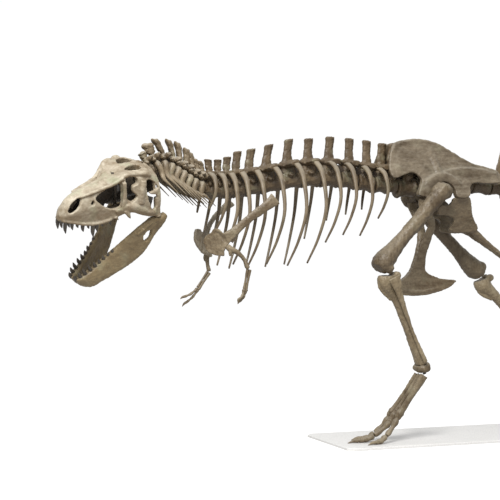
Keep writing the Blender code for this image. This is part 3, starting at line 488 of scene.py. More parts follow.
# Near black brown for the skull's inner faces and the walls inside it: painted shade.
INNER_SHADE_BONE = fossil("inner_bone", (0.075, 0.058, 0.040), (0.035, 0.026, 0.018), 0.0, 0.0)
TOOTH = fossil("tooth", (0.11, 0.092, 0.072), (0.04, 0.032, 0.025), 0.0, 0.05, bump=0.15)
# Near black, for the discs and the nerve channel's filling: painted shade in the gaps of the
# backbone.
DISC_SHADE = fossil("disc", (0.07, 0.05, 0.034), (0.03, 0.022, 0.015), 0.0, 0.0)
PAD = fossil("pad", (0.03, 0.03, 0.03), (0.012, 0.012, 0.012), 0.0, 0.02)
BOARD = fossil("board", (0.90, 0.90, 0.895), (0.86, 0.86, 0.855), 0.0, 0.0, 0.0, 0.03)

# ---------------------------------------------------------------- the backbone

COLUMN_POINTS = [
    (-3.672, -0.122, 2.998), (-3.585, -0.110, 3.072), (-3.430, -0.080, 3.110),
    (-3.250, -0.045, 3.030), (-3.070, -0.015, 2.930), (-2.900, 0.000, 2.885),
    (-2.620, 0.000, 2.890), (-2.250, 0.000, 2.945), (-1.750, 0.000, 3.040),
    (-1.250, 0.000, 3.055), (-0.700, 0.000, 3.010), (0.000, 0.000, 3.045),
    (0.750, 0.000, 3.035), (1.600, -0.018, 2.960), (2.800, -0.130, 2.890),
    (4.000, -0.340, 2.900), (5.200, -0.640, 3.000), (6.250, -1.000, 3.160),
]
TRUNK_FRONT_X, SACRUM_FRONT_X, TAIL_FRONT_X = -2.955, -0.53, 0.78
NECK_BONES, TRUNK_BONES, SACRAL_BONES, TAIL_BONES = 10, 13, 5, 30
# Where the spines of the trunk's vertebrae stand.
TRUNK_MIDDLES = [-2.885, -2.767, -2.655, -2.533, -2.369, -2.150, -1.895, -1.655, -1.399,
                 -1.160, -0.937, -0.730, -0.580]
# How finely the middle line is drawn, and how many steps either way give its direction.
COLUMN_STEPS, TURN_STEPS = 680, 3


class Backbone:
    """The middle line of the vertebrae, measured by its length from the skull."""

    def __init__(self):
        self.points = [Vector(row) for row in curve_through(COLUMN_POINTS, COLUMN_STEPS)]
        self.reach = [0.0]
        for before, after in zip(self.points, self.points[1:]):
            self.reach.append(self.reach[-1] + (after - before).length)
        self.length = self.reach[-1]

    def at_x(self, x):
        for point, reach in zip(self.points, self.reach):
            if point.x >= x:
                return reach
        return self.length

    def frame(self, reach):
        """The point, and the directions towards the tail, the animal's right and up."""
        k = 0
        while k < len(self.points) - 2 and self.reach[k + 1] < reach:
            k += 1
        step = self.reach[k + 1] - self.reach[k]
        share = clamped((reach - self.reach[k]) / step)
        point = self.points[k].lerp(self.points[k + 1], share)
        near = self.points[max(k - TURN_STEPS, 0)]
        far = self.points[min(k + 1 + TURN_STEPS, len(self.points) - 1)]
        back = (far - near).normalized()
        # The trunk and the hips don't bend sideways.
        if TRUNK_FRONT_X - 0.02 < point.x < TAIL_FRONT_X:
            point = Vector((point.x, 0, point.z))
            back = Vector((back.x, 0, back.z)).normalized()
        right = UP.cross(back).normalized()
        return point, back, right, back.cross(right)


BACKBONE = Backbone()


def bounds_of(section):
    """Where each vertebra of a section starts and ends, as lengths from the skull."""
    trunk, sacral = BACKBONE.at_x(TRUNK_FRONT_X), BACKBONE.at_x(SACRUM_FRONT_X)
    tail = BACKBONE.at_x(TAIL_FRONT_X)
    if section == "neck":
        start, end = 0.0, trunk
        sizes = [1.0 + 0.02 * k for k in range(NECK_BONES)]
    elif section == "trunk":
        between = [(a + b) / 2 for a, b in zip(TRUNK_MIDDLES, TRUNK_MIDDLES[1:])]
        edges = [trunk, *[BACKBONE.at_x(x) for x in between], sacral]
        return list(zip(edges, edges[1:]))
    elif section == "sacrum":
        start, end, sizes = sacral, tail, [1.0] * SACRAL_BONES
    else:
        start, end = tail, BACKBONE.length
        sizes = [1.0 - 0.55 * k / TAIL_BONES for k in range(TAIL_BONES)]
    scale = (end - start) / sum(sizes)
    edges = [start]
    for size in sizes:
        edges.append(edges[-1] + size * scale)
    return list(zip(edges, edges[1:]))


# Masters are modelled once at a nominal size, +X to the tail: a spool for the body, an
# arch, a spine and side processes. Each copy is then stretched to its own place.
SPOOL = [(-0.46, 0.90), (-0.445, 1.02), (-0.39, 1.03), (-0.22, 0.86), (0.0, 0.78),
         (0.22, 0.86), (0.39, 1.03), (0.445, 1.02), (0.46, 0.90)]


def spool(length, radius):
    """The waisted body of a vertebra."""
    return bone_run([(x * length, 0, 0, radius * size, radius * size * 0.98)
                     for x, size in SPOOL], 20)


def blade(points, sides=8):
    """A flat spine: rows of x, z, half thickness, half length."""
    return bone_run([(x, 0, z, thin, long) for x, z, thin, long in points], sides)


def both_sides(stations, across=ACROSS_X):
    """A process on the right and its mirror on the left."""
    return [bone_run([(x, side * y, z, a, b) for x, y, z, a, b in stations], 8, across)
            for side in (LEFT, RIGHT)]


def master_of(parts, kind, length, core, foot, top, reach=None, low=None):
    """A worn master and its measures: the body's length and radius, where the spine starts
    and ends, how far out the side processes go and how far down the chevron goes."""
    return {"item": worn(parts, kind), "length": length, "core": core, "foot": foot,
            "top": top, "reach": reach, "low": low}


def trunk_master():
    length, core = 0.20, 0.098
    parts = [spool(length, core)]
    parts.append(bone_run([(0, 0, 0.03, 0.074, 0.092), (0.000, 0, 0.09, 0.068, 0.090),
                           (0.002, 0, 0.16, 0.062, 0.094), (0.002, 0, 0.215, 0.052, 0.088),
                           (0.002, 0, 0.245, 0.034, 0.070)], 12))
    parts.append(blade([(0.002, 0.19, 0.034, 0.076), (0.002, 0.26, 0.027, 0.058),
                        (0, 0.36, 0.025, 0.051), (0, 0.44, 0.029, 0.053),
                        (0, 0.490, 0.038, 0.058), (0, 0.505, 0.032, 0.052)], sides=12))
    parts += both_sides([(0, 0.02, 0.180, 0.074, 0.044), (0.004, 0.09, 0.192, 0.060, 0.032),
                         (0.008, 0.16, 0.196, 0.050, 0.026), (0.010, 0.20, 0.194, 0.050, 0.030)])
    parts += both_sides([(0, 0.06, 0.070, 0.034, 0.036), (0.004, 0.100, 0.088, 0.028, 0.030)])
    parts += both_sides([(-0.04, 0.03, 0.185, 0.034, 0.030), (-0.09, 0.052, 0.205, 0.034, 0.024),
                         (-0.125, 0.056, 0.214, 0.024, 0.016)], across=ACROSS_Y)
    parts += both_sides([(0.04, 0.028, 0.215, 0.032, 0.028), (0.09, 0.046, 0.222, 0.032, 0.024),
                         (0.120, 0.048, 0.218, 0.022, 0.016)], across=ACROSS_Y)
    return master_of(parts, "trunk", length, core, foot=0.235, top=0.505, reach=0.20)


def neck_master():
    length, core = 0.105, 0.080
    parts = [spool(length, core)]
    parts.append(bone_run([(0, 0, 0.02, 0.070, 0.050), (0, 0, 0.08, 0.064, 0.048),
                           (0, 0, 0.120, 0.054, 0.046), (0, 0, 0.150, 0.036, 0.040)], 12))
    parts.append(blade([(0, 0.10, 0.042, 0.046), (0, 0.17, 0.034, 0.036),
                        (0, 0.235, 0.033, 0.035), (0, 0.272, 0.042, 0.042),
                        (0, 0.300, 0.036, 0.036)], sides=12))
    parts += both_sides([(-0.01, 0.03, 0.084, 0.040, 0.032), (-0.045, 0.078, 0.092, 0.038, 0.026),
                         (-0.074, 0.102, 0.100, 0.030, 0.018)], across=ACROSS_Y)
    parts += both_sides([(0.012, 0.03, 0.105, 0.038, 0.032), (0.045, 0.074, 0.126, 0.040, 0.030),
                         (0.074, 0.092, 0.142, 0.030, 0.020)], across=ACROSS_Y)
    return master_of(parts, "neck", length, core, foot=0.145, top=0.30)


def tail_master(with_spine, with_chevron, with_process):
    length, core = 0.20, 0.090
    parts = [spool(length, core)]
    if with_spine:
        parts.append(bone_run([(0, 0, 0.04, 0.040, 0.070), (0, 0, 0.10, 0.030, 0.060)], 10))
        parts.append(blade([(0.0, 0.07, 0.024, 0.058), (0.0, 0.16, 0.015, 0.050),
                            (0.0, 0.34, 0.014, 0.042), (0.0, 0.40, 0.020, 0.042)]))
        parts += both_sides([(-0.05, 0.02, 0.080, 0.018, 0.016),
                             (-0.115, 0.035, 0.110, 0.010, 0.012)], across=ACROSS_Y)
    if with_chevron:
        parts.append(bone_run([(0.060, 0, -0.060, 0.030, 0.030), (0.062, 0, -0.14, 0.018, 0.024),
                               (0.064, 0, -0.30, 0.012, 0.030), (0.066, 0, -0.40, 0.014, 0.036)],
                              8))
    if with_process:
        parts += both_sides([(0, 0.04, 0.025, 0.046, 0.024), (0.012, 0.15, 0.035, 0.036, 0.016),
                             (0.025, 0.25, 0.035, 0.034, 0.012), (0.03, 0.30, 0.033, 0.028, 0.010)])
    return master_of(parts, "tail", length, core, foot=0.10, top=0.40, reach=0.30, low=0.40)


def stretched(value, core, reach, new_core, new_reach):
    """A distance scaled up to core, then on so that reach lands on new_reach."""
    size = abs(value)
    if size <= core or reach <= core:
        return value * new_core / core
    grown = new_core + (size - core) * (new_reach - new_core) / (reach - core)
    return math.copysign(grown, value)


def vertebra(master, place, length, core, spine, blade_size, reach=None, low=None):
    """A copy of a master in the backbone. spine is where its top goes, back and up; reach
    is how far its side processes go; low is where its chevron ends, back and down."""
    point, back, right, up = place
    item = master["item"].copy()
    item.data = master["item"].data.copy()
    bpy.context.scene.collection.objects.link(item)
    size = core / master["core"]
    along = length / master["length"]
    foot = master["foot"] * size
    for vert in item.data.vertices:
        x, y, z = vert.co
        new_x, new_y, new_z = x * along, y * size, z * size
        if z > master["foot"]:
            rise = (z - master["foot"]) / (master["top"] - master["foot"])
            new_x = x * blend(along, blade_size, rise * 4) + spine[0] * rise
            new_z = foot + rise * (spine[1] - foot)
        elif low and z < -1.15 * master["core"]:
            fall = (-z - master["core"]) / (master["low"] - master["core"])
            new_x = x * along + low[0] * fall
            new_z = -core - fall * (low[1] - core)
        if reach:
            new_y = stretched(y, master["core"], master["reach"], core, reach)
        vert.co = point + back * new_x + right * new_y + up * new_z
    return item


def drum(place, length, radius):
    """A disc between two vertebrae, with a bulging rim."""
    point, back, _, _ = place
    rows = [(-0.5, 0.88), (-0.25, 0.96), (0.0, 1.0), (0.25, 0.96), (0.5, 0.88)]
    return bone_run([(*(point + back * x * length), radius * r, radius * r) for x, r in rows], 14)


def retire(*masters):
    for master in masters:
        bpy.data.objects.remove(master["item"], do_unlink=True)


# ---------------------------------------------------------------- neck

NECK_SPINE_TOPS = [(-0.095, 0.190), (-0.112, 0.260), (-0.092, 0.310), (0.003, 0.330),
                   (0.042, 0.345), (0.085, 0.320), (0.052, 0.325), (0.030, 0.300),
                   (0.000, 0.310)]


def neck_rib(place, k, side):
    """A neck rib with its two roots, pointing down and back."""
    point, back, right, up = place
    root = point + right * side * 0.105
    slim = blend(0.80, 1.1, k / 9)
    reach = blend(0.85, 1.0, k / 4) - blend(0.0, 0.35, (k - 5) / 4)
    return bone_run([
        (*(point + up * 0.075 + right * side * 0.030), 0.034, 0.030),
        (*(root + up * 0.030), 0.036, 0.030 * slim),
        (*(root + back * 0.012 - up * 0.065), 0.036, 0.024),
        (*(root + Vector((0.050, side * 0.026, -0.140)) * reach), 0.024, 0.016),
        (*(root + Vector((0.130, side * 0.035, -0.215)) * reach), 0.009, 0.007),
        (*(root + Vector((0.235, side * 0.040, -0.315)) * reach), 0.004, 0.004)], 8,
        across=back, fine=14)


# The first vertebra with ribs also has a broad spine with two rough swellings.
BROAD_ONE = 2
# How many vertebrae the front run of the neck has.
FRONT_COUNT = 5


def build_neck():
    master = neck_master()
    runs = {"neck_front": [], "neck_rear": []}
    for k, (start, end) in enumerate(bounds_of("neck")):
        place = BACKBONE.frame((start + end) / 2)
        point, back, _, up = place
        shift, rise = NECK_SPINE_TOPS[k - 1] if k else (0.0, 0.10)
        top = Vector((shift, 0, rise))
        bones = runs["neck_front" if k < FRONT_COUNT else "neck_rear"]
        bones.append(vertebra(master, place, (end - start) * 0.97,
                              0.080 + 0.018 * (k / NECK_BONES),
                              (top.dot(back), top.dot(up)), 1.7 if k == BROAD_ONE else 1.2))
        if k == BROAD_ONE:
            tip = point + top
            bones.append(knob(tip + Vector((0.0, 0, -0.025)), (0.046, 0.040, 0.038)))
            bones.append(knob(tip + Vector((-0.030, -0.02, -0.130)), (0.044, 0.042, 0.052)))
        if k >= BROAD_ONE:
            bones += [neck_rib(place, k, side) for side in (LEFT, RIGHT)]
    retire(master)
    for name, bones in runs.items():
        finish(name + "_bones", join(bones), NECK_BONE, name)


# ---------------------------------------------------------------- trunk and ribs

# A rib: how far down its length, how far out of its width, and how far back for its length.
RIB_SHAPE = [(0.0, 0.50, 0.00), (0.13, 0.80, 0.01), (0.45, 1.00, 0.01), (0.75, 0.93, -0.06),
             (1.00, 0.74, -0.15)]
RIB_SIZES = [(0.040, 0.022), (0.030, 0.019), (0.021, 0.014), (0.017, 0.012), (0.011, 0.009)]
RIB_LENGTHS = [0.40, 0.62, 0.86, 1.02, 1.08, 1.08, 1.15, 1.15, 0.92, 0.82, 0.80, 0.58]
RIGHT_RIB_LENGTHS = RIB_LENGTHS[:8] + [0.85, 0.62, 0.52, 0.44]
TRUNK_SPINE_TOPS = [(0.000, 0.350), (0.000, 0.355), (0.000, 0.385), (0.000, 0.440),
                    (0.000, 0.450), (0.000, 0.470), (-0.010, 0.490), (0.000, 0.480),
                    (0.025, 0.505), (0.030, 0.505), (0.030, 0.515), (0.035, 0.505),
                    (0.035, 0.505)]


def rib_width(k):
    return blend(0.29, 0.47, k / 6) - blend(0.0, 0.15, (k - 7) / 3)


def rib(k, side, middle):
    """A curved rib: a broad head on its vertebra's process, then a slim shaft to its tip."""
    point = BACKBONE.frame(middle)[0] + Vector((blend(0.0, -0.06, (k - 7) / 1.5), 0, 0))
    length = (RIB_LENGTHS if side == LEFT else RIGHT_RIB_LENGTHS)[k]
    width = rib_width(k)
    stations = [(*(point + Vector((0.0, side * 0.34 * width, 0.180))), 0.042, 0.022)]
    for (down, out, rear), (wide, deep) in zip(RIB_SHAPE, RIB_SIZES):
        reach = Vector((rear * length, side * width * out, 0.165 - length * down))
        stations.append((*(point + reach), wide, deep))
    return bone_run(stations, 12, across=ACROSS_X, fine=28)


def build_trunk():
    master = trunk_master()
    bones, ribs = [], {LEFT: [], RIGHT: []}
    for k, (start, end) in enumerate(bounds_of("trunk")):
        middle = BACKBONE.at_x(TRUNK_MIDDLES[k])
        place = BACKBONE.frame(middle)
        shift, rise = TRUNK_SPINE_TOPS[k]
        top = Vector((shift, 0, rise))
        size = blend(0.85, 1.05, (k - 1) / 4)
        core = blend(0.090, 0.102, k / TRUNK_BONES)
        reach = max(0.5 * rib_width(min(k, len(RIB_LENGTHS) - 1)), 0.13)
        bones.append(vertebra(master, place, (end - start) * 0.975, core,
                              (top.dot(place[1]), top.dot(place[3])), size, reach))
        if k < len(RIB_LENGTHS):
            for side in (LEFT, RIGHT):
                ribs[side].append(rib(k, side, middle))
    retire(master)
    finish("trunk_vertebrae", join(bones), SPINE_BONE, "rib_cage_left", "rib_cage_right")
    for side, word in WORDS.items():
        finish("ribs_" + word, join(ribs[side]), RIB_BONE, "rib_cage_" + word)


TAIL_DISCS = 25
# The dark filling of the nerve channel, painted shade behind the arches: where it starts, and how
# many rings it has.
CHANNEL_FRONT_X, CHANNEL_RINGS = -3.45, 40


def channel_shade_filling():
    """A dark filling behind the gaps between the arches: painted shade where the open channel lies.
    """
    start, end = BACKBONE.at_x(CHANNEL_FRONT_X), BACKBONE.at_x(TAIL_FRONT_X)
    rows = []
    for n in range(CHANNEL_RINGS):
        point, _, _, up = BACKBONE.frame(start + (end - start) * n / (CHANNEL_RINGS - 1))
        rows.append((*(point + up * blend(0.085, 0.115, n / 20)), 0.046, 0.062))
    return bone_run(rows, 12)


def build_discs():
    """Near black discs between the vertebrae's bodies, painted shade in the gaps, and the channel's
    filling.
    """
    made = []
    for section, radius in (("neck", 0.066), ("trunk", 0.086)):
        for start, _ in bounds_of(section)[1:]:
            made.append(drum(BACKBONE.frame(start), 0.035, radius))
    bounds = bounds_of("tail")
    for k in range(1, TAIL_DISCS + 1):
        made.append(drum(BACKBONE.frame(bounds[k][0]), 0.020, tail_radius(k / TAIL_BONES) * 0.88))
    for reach in (bounds_of("trunk")[0][0], bounds_of("sacrum")[0][0], bounds[0][0]):
        made.append(drum(BACKBONE.frame(reach), 0.030, 0.080))
    made.append(channel_shade_filling())
    finish("spine_discs", join(made), DISC_SHADE)


# ---------------------------------------------------------------- tail

TAIL_PARTS = {"tail_base": (0, 6), "tail_front": (6, 13), "tail_rear": (13, 21),
              "tail_tip": (21, TAIL_BONES)}
# Along the tail the side processes end first, then the chevrons, then the spines.
TAIL_ENDS = (0.22, 0.52, 0.60)


def tail_radius(share):
    return 0.016 + 0.084 * (1 - share) ** 1.05


def tail_vertebra(masters, k, start, end):
    """The kth vertebra of the tail, from start to end."""
    share = k / TAIL_BONES
    length = end - start
    size = tail_radius(share)
    rise = blend(0.36, 0.0, share * 1.12) + size * 1.15
    drop = blend(0.36, 0.03, share * 1.15) + size * 1.0
    out = blend(0.20, 0.02, share * 2.3) + size
    kind = sum(share >= place for place in TAIL_ENDS)
    return vertebra(masters[kind], BACKBONE.frame((start + end) / 2), length * 0.985,
                    size * 0.97, (0.25 * length, rise), length / 0.20,
                    out if kind == 0 else None,
                    (0.04 + length * 0.22, drop) if kind < 2 else None)


def build_tail():
    masters = [tail_master(True, True, True), tail_master(True, True, False),
               tail_master(True, False, False), tail_master(False, False, False)]
    bounds = bounds_of("tail")
    for name, (first, last) in TAIL_PARTS.items():
        bones = [tail_vertebra(masters, k, *bounds[k]) for k in range(first, last)]
        finish(name + "_bones", join(bones), SPINE_BONE, name)
    retire(*masters)


# ---------------------------------------------------------------- hips

HIP_HEIGHT, HIP_HALF_WIDTH = 2.93, 0.30
ILIUM_TOP = [
    (-0.70, 3.10), (-0.715, 3.22), (-0.66, 3.42), (-0.57, 3.525), (-0.30, 3.575),
    (-0.06, 3.545), (0.13, 3.455), (0.40, 3.310), (0.60, 3.262), (0.77, 3.215),
    (0.80, 3.130), (0.77, 3.068), (0.60, 3.046), (0.44, 3.052), (0.35, 3.010),
    (0.300, 2.875), (0.140, 2.862),
]
ILIUM_FRONT_LOW = [(-0.130, 2.800), (-0.36, 2.815), (-0.375, 2.92), (-0.31, 3.060),
                   (-0.40, 3.150), (-0.52, 3.120), (-0.64, 3.075)]
# The rough upper edge of the hip blade, from its front end.
ILIUM_EDGE = [(-0.64, 3.42), (-0.56, 3.515), (-0.30, 3.572), (-0.06, 3.545), (0.13, 3.452),
              (0.40, 3.312), (0.60, 3.265), (0.75, 3.225)]
SOCKET_RADIUS = 0.120


def ilium_middle(z):
    """How far out the hip blade stands at a height: it leans in towards its top."""
    return 0.115 + 0.29 * (3.575 - z)


def build_ilium(side):
    arch = []
    for k in range(1, 6):
        turn = math.radians(-20 + 37 * k)
        arch.append((SOCKET_RADIUS * math.cos(turn), HIP_HEIGHT + SOCKET_RADIUS * math.sin(turn)))

    def inner(z):
        return side * (ilium_middle(z) - blend(0.052, 0.022, (z - 2.9) / 0.3))

    def outer(z):
        return side * (ilium_middle(z) + blend(0.036, 0.020, (z - 2.9) / 0.3))

    # The foot before the socket ends higher on the far side.
    rise = 0.05 if side == LEFT else 0.11
    foot = [(x, z + rise) for x, z in ILIUM_FRONT_LOW[:2]]
    parts = [slab(ILIUM_TOP + arch + foot + ILIUM_FRONT_LOW[2:], inner, outer, 96)]

    def swelling(rows, sides, fine):
        """A swelling on the blade: rows of x, z, how far out, half width, half depth."""
        parts.append(bone_run([(x, side * (ilium_middle(z) + out), z, wide, deep)
                               for x, z, out, wide, deep in rows], sides, fine=fine))

    # The thick rim over the socket, the ridge up the blade and the rough upper edge.
    swelling([(-0.24, 2.85 + rise, 0.010, 0.028, 0.070), (-0.21, 3.01, 0.016, 0.028, 0.075),
              (-0.03, 3.110, 0.024, 0.032, 0.062), (0.15, 3.04, 0.014, 0.028, 0.060),
              (0.21, 2.93, 0.004, 0.024, 0.046)], 12, 14)
    swelling([(-0.04, 3.10, 0.030, 0.024, 0.050), (-0.10, 3.28, 0.022, 0.016, 0.045),
              (-0.16, 3.50, 0.010, 0.010, 0.040)], 8, 8)
    # The long swelling from above the socket to the rear end, and one at the front end.
    swelling([(-0.02, 3.12, 0.010, 0.024, 0.060), (0.25, 3.160, 0.004, 0.026, 0.080),
              (0.52, 3.150, 0.004, 0.032, 0.085), (0.74, 3.135, 0.006, 0.030, 0.060)], 12, 10)
    swelling([(-0.60, 3.13, 0.006, 0.022, 0.060), (-0.57, 3.28, 0.006, 0.020, 0.070),
              (-0.50, 3.44, 0.004, 0.016, 0.060)], 12, 8)
    swelling([(x, z - 0.028, 0.0, 0.028, 0.026) for x, z in ILIUM_EDGE], 8, 18)
    finish_bone("ilium_" + WORDS[side], parts, "ilium", ILIUM_BONE)


def build_sacrum():
    bounds = bounds_of("sacrum")
    parts = []
    for start, end in bounds:
        point, back, _, _ = BACKBONE.frame((start + end) / 2)
        length = (end - start) * 1.02
        size = blend(1.25, 0.95, (point.x + 0.6) / 0.8)
        point = point + Vector((0, 0, 0.09 - 0.10 * size))
        parts.append(bone_run([(*(point + back * x * length), 0.100 * size * r, 0.100 * size * r)
                               for x, r in SPOOL], 16))
    crest = [(-0.50, 3.08), (-0.47, 3.49), (-0.10, 3.50), (0.25, 3.40), (0.55, 3.27),
             (0.72, 3.16), (0.74, 3.07)]
    parts.append(slab(crest, -0.024, 0.024))
    for start, end in bounds:
        point = BACKBONE.frame((start + end) / 2)[0]
        tall = point.x < 0.2
        heights = (0.10, 0.25, 0.38) if tall else (0.05, 0.20)
        parts.append(bone_run([(*(point + UP * z), 0.034, 0.050 if tall else 0.045)
                               for z in heights], 8))
        for side in (LEFT, RIGHT):
            parts.append(bone_run([
                (*(point + Vector((0, side * 0.04, 0.05))), 0.060, 0.050),
                (*(point + Vector((0, side * 0.150, 0.12))), 0.050, 0.056)], 8, ACROSS_X))
    finish_bone("sacrum", parts, "hip", SPINE_BONE)


def build_pubis():
    """The two pubes, which grow together at the long boot below."""
    boot = [(-0.575, 1.775), (-0.46, 1.700), (-0.25, 1.690), (-0.02, 1.715), (0.20, 1.790),
            (0.300, 1.872), (0.17, 1.885), (0.02, 1.915), (-0.12, 1.985), (-0.155, 2.10),
            (-0.26, 2.10), (-0.33, 1.975), (-0.44, 1.880)]
    parts = [slab(boot, -0.040, 0.040, 60)]
    parts.append(bone_run([(-0.53, 0, 1.77, 0.046, 0.036), (-0.30, 0, 1.735, 0.058, 0.036),
                           (-0.02, 0, 1.760, 0.052, 0.034), (0.22, 0, 1.845, 0.036, 0.026)], 10,
                          fine=14))
    for side in (LEFT, RIGHT):
        ahead = 0.13 if side == LEFT else 0.0
        stations = [
            (-0.135 - ahead, side * 0.262, 2.835, 0.044, 0.078),
            (-0.130 - ahead, side * 0.240, 2.74, 0.040, 0.066),
            (-0.100, side * 0.140, 2.56, 0.036, 0.052), (-0.120, side * 0.080, 2.40, 0.038, 0.054),
            (-0.175, side * 0.036, 2.20, 0.036, 0.060), (-0.215, side * 0.024, 2.02, 0.030, 0.088),
        ]
        parts.append(bone_run(stations, 12, fine=20))
    finish_bone("pubis", parts, "pubis", HIP_BONE)


def build_ischium(side):
    outline = [(0.125, 2.858), (0.235, 2.874), (0.345, 2.862), (0.43, 2.66),
               (0.55, 2.50), (0.42, 2.46), (0.16, 2.475), (0.20, 2.60), (0.10, 2.655),
               (-0.04, 2.665), (-0.05, 2.760), (0.06, 2.775), (0.10, 2.81)]

    def lean(z):
        return 0.290 - 0.46 * (2.89 - z)

    parts = [slab(outline, lambda z: side * (lean(z) - 0.022),
                  lambda z: side * (lean(z) + 0.024), 54)]
    parts.append(bone_run([
        (0.36, side * 0.136, 2.58, 0.022, 0.060), (0.58, side * 0.075, 2.44, 0.024, 0.036),
        (0.80, side * 0.048, 2.29, 0.021, 0.026), (1.05, side * 0.040, 2.13, 0.018, 0.023),
        (1.25, side * 0.036, 2.01, 0.018, 0.028)], 12, fine=18))
    finish_bone("ischium_" + WORDS[side], parts, "hip", HIP_BONE)


# ---------------------------------------------------------------- skull

# The skull and its jaws have their own sides: 1 is the skull's left, -1 its right.
SKULL_SIDES = {-1.0: "right", 1.0: "left"}
SNOUT = Vector((-4.671, -0.508, 2.511))
SKULL_YAW = math.radians(26.9)
SKULL_PITCH = math.radians(14.3)
SKULL_ROLL = math.radians(-25.9)
JAW_GAPE = math.radians(40.0)
JAW_HINGE = (1.170, 0.305, -0.115)


def skull_axes():
    """The skull's directions: to the snout, to its left and up."""
    front = Vector((-math.cos(SKULL_YAW) * math.cos(SKULL_PITCH),
                    -math.sin(SKULL_YAW) * math.cos(SKULL_PITCH), -math.sin(SKULL_PITCH)))
    level = UP.cross(front).normalized()
    steep = front.cross(level)
    left = level * math.cos(SKULL_ROLL) + steep * math.sin(SKULL_ROLL)
    return front, left, front.cross(left)


SKULL_FRONT, SKULL_LEFT, SKULL_UP = skull_axes()


def skull_place(behind, left, up):
    """A point of the skull: behind the snout's tip, to its left and above its base line."""
    return SNOUT - SKULL_FRONT * behind + SKULL_LEFT * left + SKULL_UP * up


def jaw_place(ahead, left, up):
    """A point of the lower jaw: ahead of its hinge, to its left and up, mouth closed."""
    c, s = math.cos(JAW_GAPE), math.sin(JAW_GAPE)
    return skull_place(JAW_HINGE[0] - ahead * c - up * s, left,
                       JAW_HINGE[2] + up * c - ahead * s)


# Skull sections: behind the snout, then half width and height of the tooth margin, the
# cheek and the brow, and the height of the roof's middle.
SKULL_SECTIONS = [
    (0.034, 0.030, -0.048, 0.035, -0.010, 0.022, 0.015, 0.022),
    (0.072, 0.065, -0.045, 0.075, 0.030, 0.045, 0.085, 0.100),
    (0.150, 0.095, -0.062, 0.105, 0.065, 0.060, 0.165, 0.185),
    (0.268, 0.120, -0.098, 0.130, 0.080, 0.068, 0.215, 0.235),
    (0.394, 0.140, -0.119, 0.145, 0.090, 0.072, 0.240, 0.258),
    (0.514, 0.165, -0.115, 0.160, 0.100, 0.080, 0.262, 0.280),
    (0.620, 0.195, -0.085, 0.185, 0.120, 0.100, 0.292, 0.316),
    (0.715, 0.245, -0.022, 0.215, 0.150, 0.172, 0.392, 0.352),
    (0.800, 0.285, -0.002, 0.260, 0.160, 0.195, 0.402, 0.400),
    (0.900, 0.310, -0.040, 0.300, 0.160, 0.215, 0.408, 0.430),
    (1.030, 0.330, -0.082, 0.322, 0.150, 0.225, 0.395, 0.425),
    (1.165, 0.340, -0.088, 0.315, 0.150, 0.215, 0.325, 0.405),
]
# The hollow behind the nostrils, closed below, and the one from the cheeks back, open.
NOSE_SECTIONS = [
    (0.110, 0.045, -0.012, 0.070, 0.050, 0.034, 0.095, 0.108),
    (0.200, 0.078, -0.030, 0.095, 0.070, 0.044, 0.150, 0.166),
    (0.300, 0.092, -0.045, 0.108, 0.080, 0.050, 0.190, 0.204),
    (0.430, 0.090, -0.045, 0.112, 0.095, 0.045, 0.205, 0.222),
]
HOLLOW_SECTIONS = [
    (0.405, 0.090, -0.300, 0.112, 0.097, 0.045, 0.205, 0.222),
    (0.531, 0.115, -0.300, 0.130, 0.107, 0.048, 0.210, 0.222),
    (0.634, 0.145, -0.300, 0.155, 0.127, 0.065, 0.235, 0.245),
    (0.727, 0.195, -0.300, 0.180, 0.143, 0.120, 0.310, 0.270),
    (0.814, 0.235, -0.300, 0.225, 0.153, 0.160, 0.330, 0.290),
    (0.914, 0.260, -0.300, 0.270, 0.153, 0.190, 0.290, 0.240),
    (1.044, 0.280, -0.300, 0.292, 0.143, 0.190, 0.280, 0.220),
    (1.072, 0.282, -0.300, 0.290, 0.143, 0.190, 0.278, 0.220),
    (1.090, 0.284, -0.300, 0.288, 0.143, 0.182, 0.330, 0.375),
    (1.252, 0.290, -0.300, 0.285, 0.143, 0.180, 0.280, 0.362),
]
WALL = 0.020


def skull_ring(section):
    """A ring across the skull, rounded between its corners except at the margin."""
    behind, margin_y, margin_z, cheek_y, cheek_z, brow_y, brow_z, roof = section
    half = [(margin_y, margin_z), (cheek_y, cheek_z), (brow_y, brow_z), (0.0, roof)]
    mirror = [(-y, z) for y, z in reversed(half[:-1])]
    ring = curve_through(half + mirror, 25)
    return [skull_place(behind, y, z) for y, z in ring]


def skull_cutter(outline, near, far):
    """A cutter through a cheek, from near to far out. outline is in behind and up."""
    drawn = curve_through(outline, 24, closed=True)
    return rings_form([[skull_place(b, y, z) for b, z in drawn] for y in (near, far)])


def oval(centre, half_length, half_height, tilt):
    c, s = math.cos(math.radians(tilt)), math.sin(math.radians(tilt))
    found = []
    for k in range(10):
        turn = math.tau * k / 10
        a, b = half_length * math.cos(turn), half_height * math.sin(turn)
        found.append((centre[0] + a * c - b * s, centre[1] + a * s + b * c))
    return found


